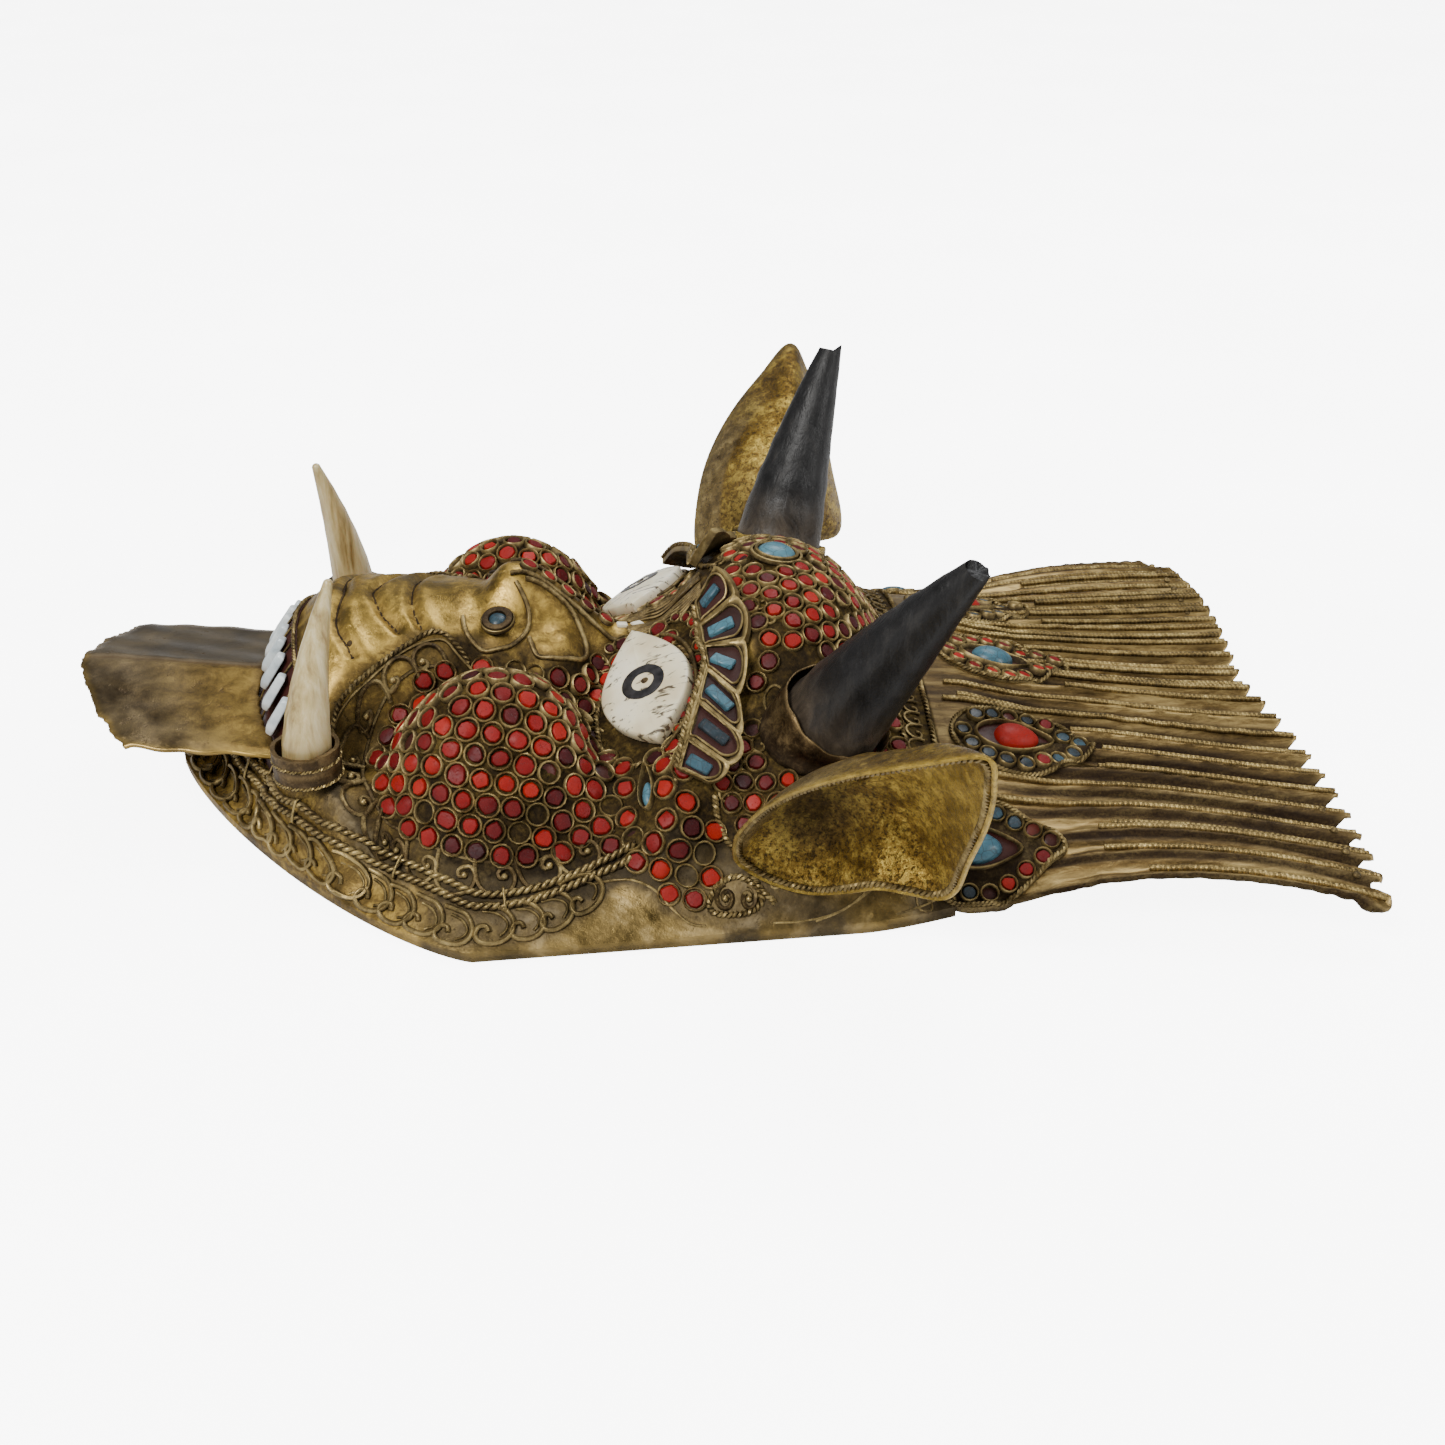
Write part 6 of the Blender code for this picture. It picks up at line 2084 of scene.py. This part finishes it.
def add_hair_wires():
    """Round rods along the ridges of the hair, starting behind the leaves, and nail heads along its end."""
    rods = []
    dice = random.Random(SEED + 5)
    half = (STRANDS + 1) // 2
    for side in SIDES:
        for number in range(half):
            u = side * (number + 0.5) / half
            under_leaf = abs(u) < 0.13 or abs(abs(u) - 0.47) < 0.13 or abs(abs(u) - 0.89) < 0.10
            for twin in ((0.0,) if number % 3 else (-0.012, 0.014)):
                start = dice.uniform(0.34, 0.46) if under_leaf else dice.uniform(0.04, 0.16)
                line = []
                for step in range(48):
                    share = mix(start, 0.985, step / 47)
                    x, y = hair_place(u + twin, share, 0.0)
                    if x > HAIR_END - 1.1:
                        break
                    line.append(world(x, y, hair_height(x, y, u + twin, share) + 0.45))
                rods.append(smooth_line(line, 1.5 * MM))
    add_wires("hair_rods", rods, 0.78, "rod", "hair_brass", 2, hollow=0.1, rubbed=0.45)
    heads = bmesh.new()
    for side in SIDES:
        for number in range(10):
            x, y = hair_place(side * mix(0.08, 0.92, number / 9), 0.925)
            axes = lying_axes(HAIR_RELIEF.normal(x, y, 3))
            cabochon(heads, HAIR_RELIEF.point(x, y, -0.5), *axes, 1.0, 1.0, 0.75, 14)
    new_piece("hair_nails", heads, "wire", "hair_brass", sharp=40, hollow=0.3, rubbed=0.3)


def grime_map(step=0.4, reach=2.2):
    """How closely wires and bezels stand round each place on the face, from 0 to 1, as a grid in the plan; it
    sets the painted shade and patina round them.
    """
    grid = np.zeros((int(216 / step), int(200 / step)))
    for x, y in WIRE_SPOTS:
        i, j = int((x + 152) / step), int((y + 100) / step)
        if 0 <= i < grid.shape[0] and 0 <= j < grid.shape[1]:
            grid[i, j] = 1.0
    wide = int(reach / step)
    for _ in range(2):
        for axis in (0, 1):
            total = np.zeros_like(grid)
            for shift in range(-wide, wide + 1):
                total += np.roll(grid, shift, axis)
            grid = total / (2 * wide + 1)
    return grid, step


TINNED_STRIP = ((-98.0, -46.0), (-95.0, -52.5), (-90.5, -57.5), (-84.0, -62.0), (-77.0, -66.5))


def tint_face(thing):
    """Painted shade with patina between the stones, round the wires and in the folds; worn metal on the high
    places.
    """
    spots = vertex_array(thing.data)
    hollow = np.zeros(len(spots))
    rubbed = np.zeros(len(spots))
    tinned = np.zeros(len(spots))
    grid, step = grime_map()
    for index, spot in enumerate(spots):
        x, y = on_plan(spot)
        i = int(clamp((x + 152) / step, 0, grid.shape[0] - 1))
        j = int(clamp((y + 100) / step, 0, grid.shape[1] - 1))
        # Painted shade with patina: darker where wires and bezels crowd, in the muzzle folds and over the
        # beds of stones.
        dirt = ease(grid[i, j] / 0.16)
        dirt = max(dirt, 0.95 * ease(muzzle_groove(x, y) / 1.1))
        edge = rim_distance(x, y)
        gilt = ease((-67 - x) / 4) * ease((48 - abs(y)) / 5) * ease((x + 101) / 4)
        muzzle = mix(0.5, 1.0, gilt)
        if inside(NEAR_CORAL, x, -abs(y)) or inside(NEAR_FOREHEAD, x, -abs(y)):
            dirt = max(dirt, 0.97)
            gilt = 0.0
        hollow[index] = dirt * mix(1.0 if dirt >= 0.97 and edge > 15 else 0.75 if edge > 9 else 0.35, 0.4,
                                   gilt)
        rubbed[index] = muzzle * (1 - dirt * 0.7) * 0.85
        tinned[index] = 0.85 * ease((x + 84) / 16) * ease((22 - edge) / 8)
        tinned[index] = max(tinned[index], 0.9 * ease(1 - line_distance(TINNED_STRIP, x, -abs(y)) / 5.5))
    set_masks(thing, tinned=tinned, hollow=hollow, rubbed=rubbed)


# Putting the mask together

def main():
    dice = random.Random(SEED)
    cheek = pack_places(coral_allowed, (-89, -80, -3, -6), 5.2, dice, (-60, -44))
    brow = pack_places(forehead_allowed, (-8, -69, 41, 0.1), 5.0, dice, (24, -2.9))
    brow = [spot for spot in brow if min(math.dist(spot, other) for other in cheek) > 5.4]
    sheet = build_face_sheet()
    build_hair_sheet()
    weights = (0.94, 0.0, 0.06)
    lid_row = [(spot.x, spot.y) for spot in smooth_line(LID_ROW, 3.75)]
    for side_name, side in (("near", -1), ("far", 1)):
        set_stones("cheek_" + side_name, mirrored(cheek, side), 3.05, dice, weights, 1.5, 0.5)
        set_stones("forehead_" + side_name, mirrored(brow, side), 2.8, dice, weights, 1.4, 0.48)
        set_stones("lid_" + side_name, mirrored(lid_row, side), 1.85, dice, weights, 1.2, 0.4)
    add_ropes()
    add_rim_scales(dice)
    add_filigree(dice)
    add_edgings()
    add_tongue()
    add_teeth()
    add_tusks(dice)
    add_horns(dice)
    add_ears()
    add_eyes()
    add_brows(dice)
    add_leaves(dice)
    add_single_stones(dice)
    add_nose_stones(dice)
    add_hair_wires()
    tint_face(sheet)


main()


# The stage

FLOOR_GLOW = 8.0
ROOM_LIGHT = 0.30
LENS = 42.9
# Where the camera stands and what it looks at, in millimetres from the point under the brows
CAMERA_PLACE = (-23.1, -404.1, 240.7)
CAMERA_AIM = (0.0, 0.0, 11.7)
# Name, place, aim, size, power and colour of each lamp
LAMPS = (
    ("key softbox", (-0.55, -0.65, 0.95), (0.0, 0.0, 0.02), 0.45, 18.0, (1.0, 0.98, 0.95)),
    ("top softbox", (0.25, 0.45, 1.1), (0.0, 0.0, 0.02), 0.6, 9.0, (0.97, 0.98, 1.0)),
    ("side softbox", (0.9, -0.5, 0.5), (0.0, 0.0, 0.03), 0.4, 5.0, (1.0, 0.99, 0.97)),
)


def add_stage():
    """A plain pale floor, soft light from above and a camera where the photo was taken from."""
    floor = bmesh.new()
    bmesh.ops.create_grid(floor, x_segments=2, y_segments=2, size=25.0)
    mesh = bpy.data.meshes.new("floor")
    floor.to_mesh(mesh)
    floor.free()
    ground = bpy.data.objects.new("floor", mesh)
    bpy.context.scene.collection.objects.link(ground)
    for vert in mesh.vertices:
        vert.co.z = -0.0004
    p = Paint("pale floor")
    grain = p.noise(9, 2, 0.5)
    shade = p.ramp(grain, ((0.3, (0.86, 0.86, 0.86)), (0.7, (0.90, 0.90, 0.90))))
    seen = p.node("ShaderNodeLightPath").outputs["Is Camera Ray"]
    p.finish(Base_Color=shade, Roughness=0.8, Specular_IOR_Level=0.1, Emission_Color=shade,
             Emission_Strength=p.times(seen, FLOOR_GLOW))
    mesh.materials.append(p.material)
    world_light = bpy.data.worlds.new("pale room")
    world_light.use_nodes = True
    world_light.node_tree.nodes["Background"].inputs["Color"].default_value = (1.0, 1.0, 1.0, 1.0)
    world_light.node_tree.nodes["Background"].inputs["Strength"].default_value = ROOM_LIGHT
    bpy.context.scene.world = world_light
    for name, spot, aim, size, power, colour in LAMPS:
        light = bpy.data.lights.new(name, "AREA")
        light.size = size
        light.energy = power
        light.color = colour
        lamp = bpy.data.objects.new(name, light)
        lamp.location = spot
        lamp.rotation_euler = (Vector(aim) - Vector(spot)).to_track_quat("-Z", "Y").to_euler()
        bpy.context.scene.collection.objects.link(lamp)
    camera = bpy.data.cameras.new("photo camera")
    camera.lens = LENS
    camera.sensor_width = 36.0
    camera.dof.use_dof = False
    view = bpy.data.objects.new("photo camera", camera)
    view.location = world(*CAMERA_PLACE)
    view.rotation_euler = (world(*CAMERA_AIM) - world(*CAMERA_PLACE)).to_track_quat("-Z", "Y").to_euler()
    bpy.context.scene.collection.objects.link(view)
    bpy.context.scene.camera = view


add_stage()
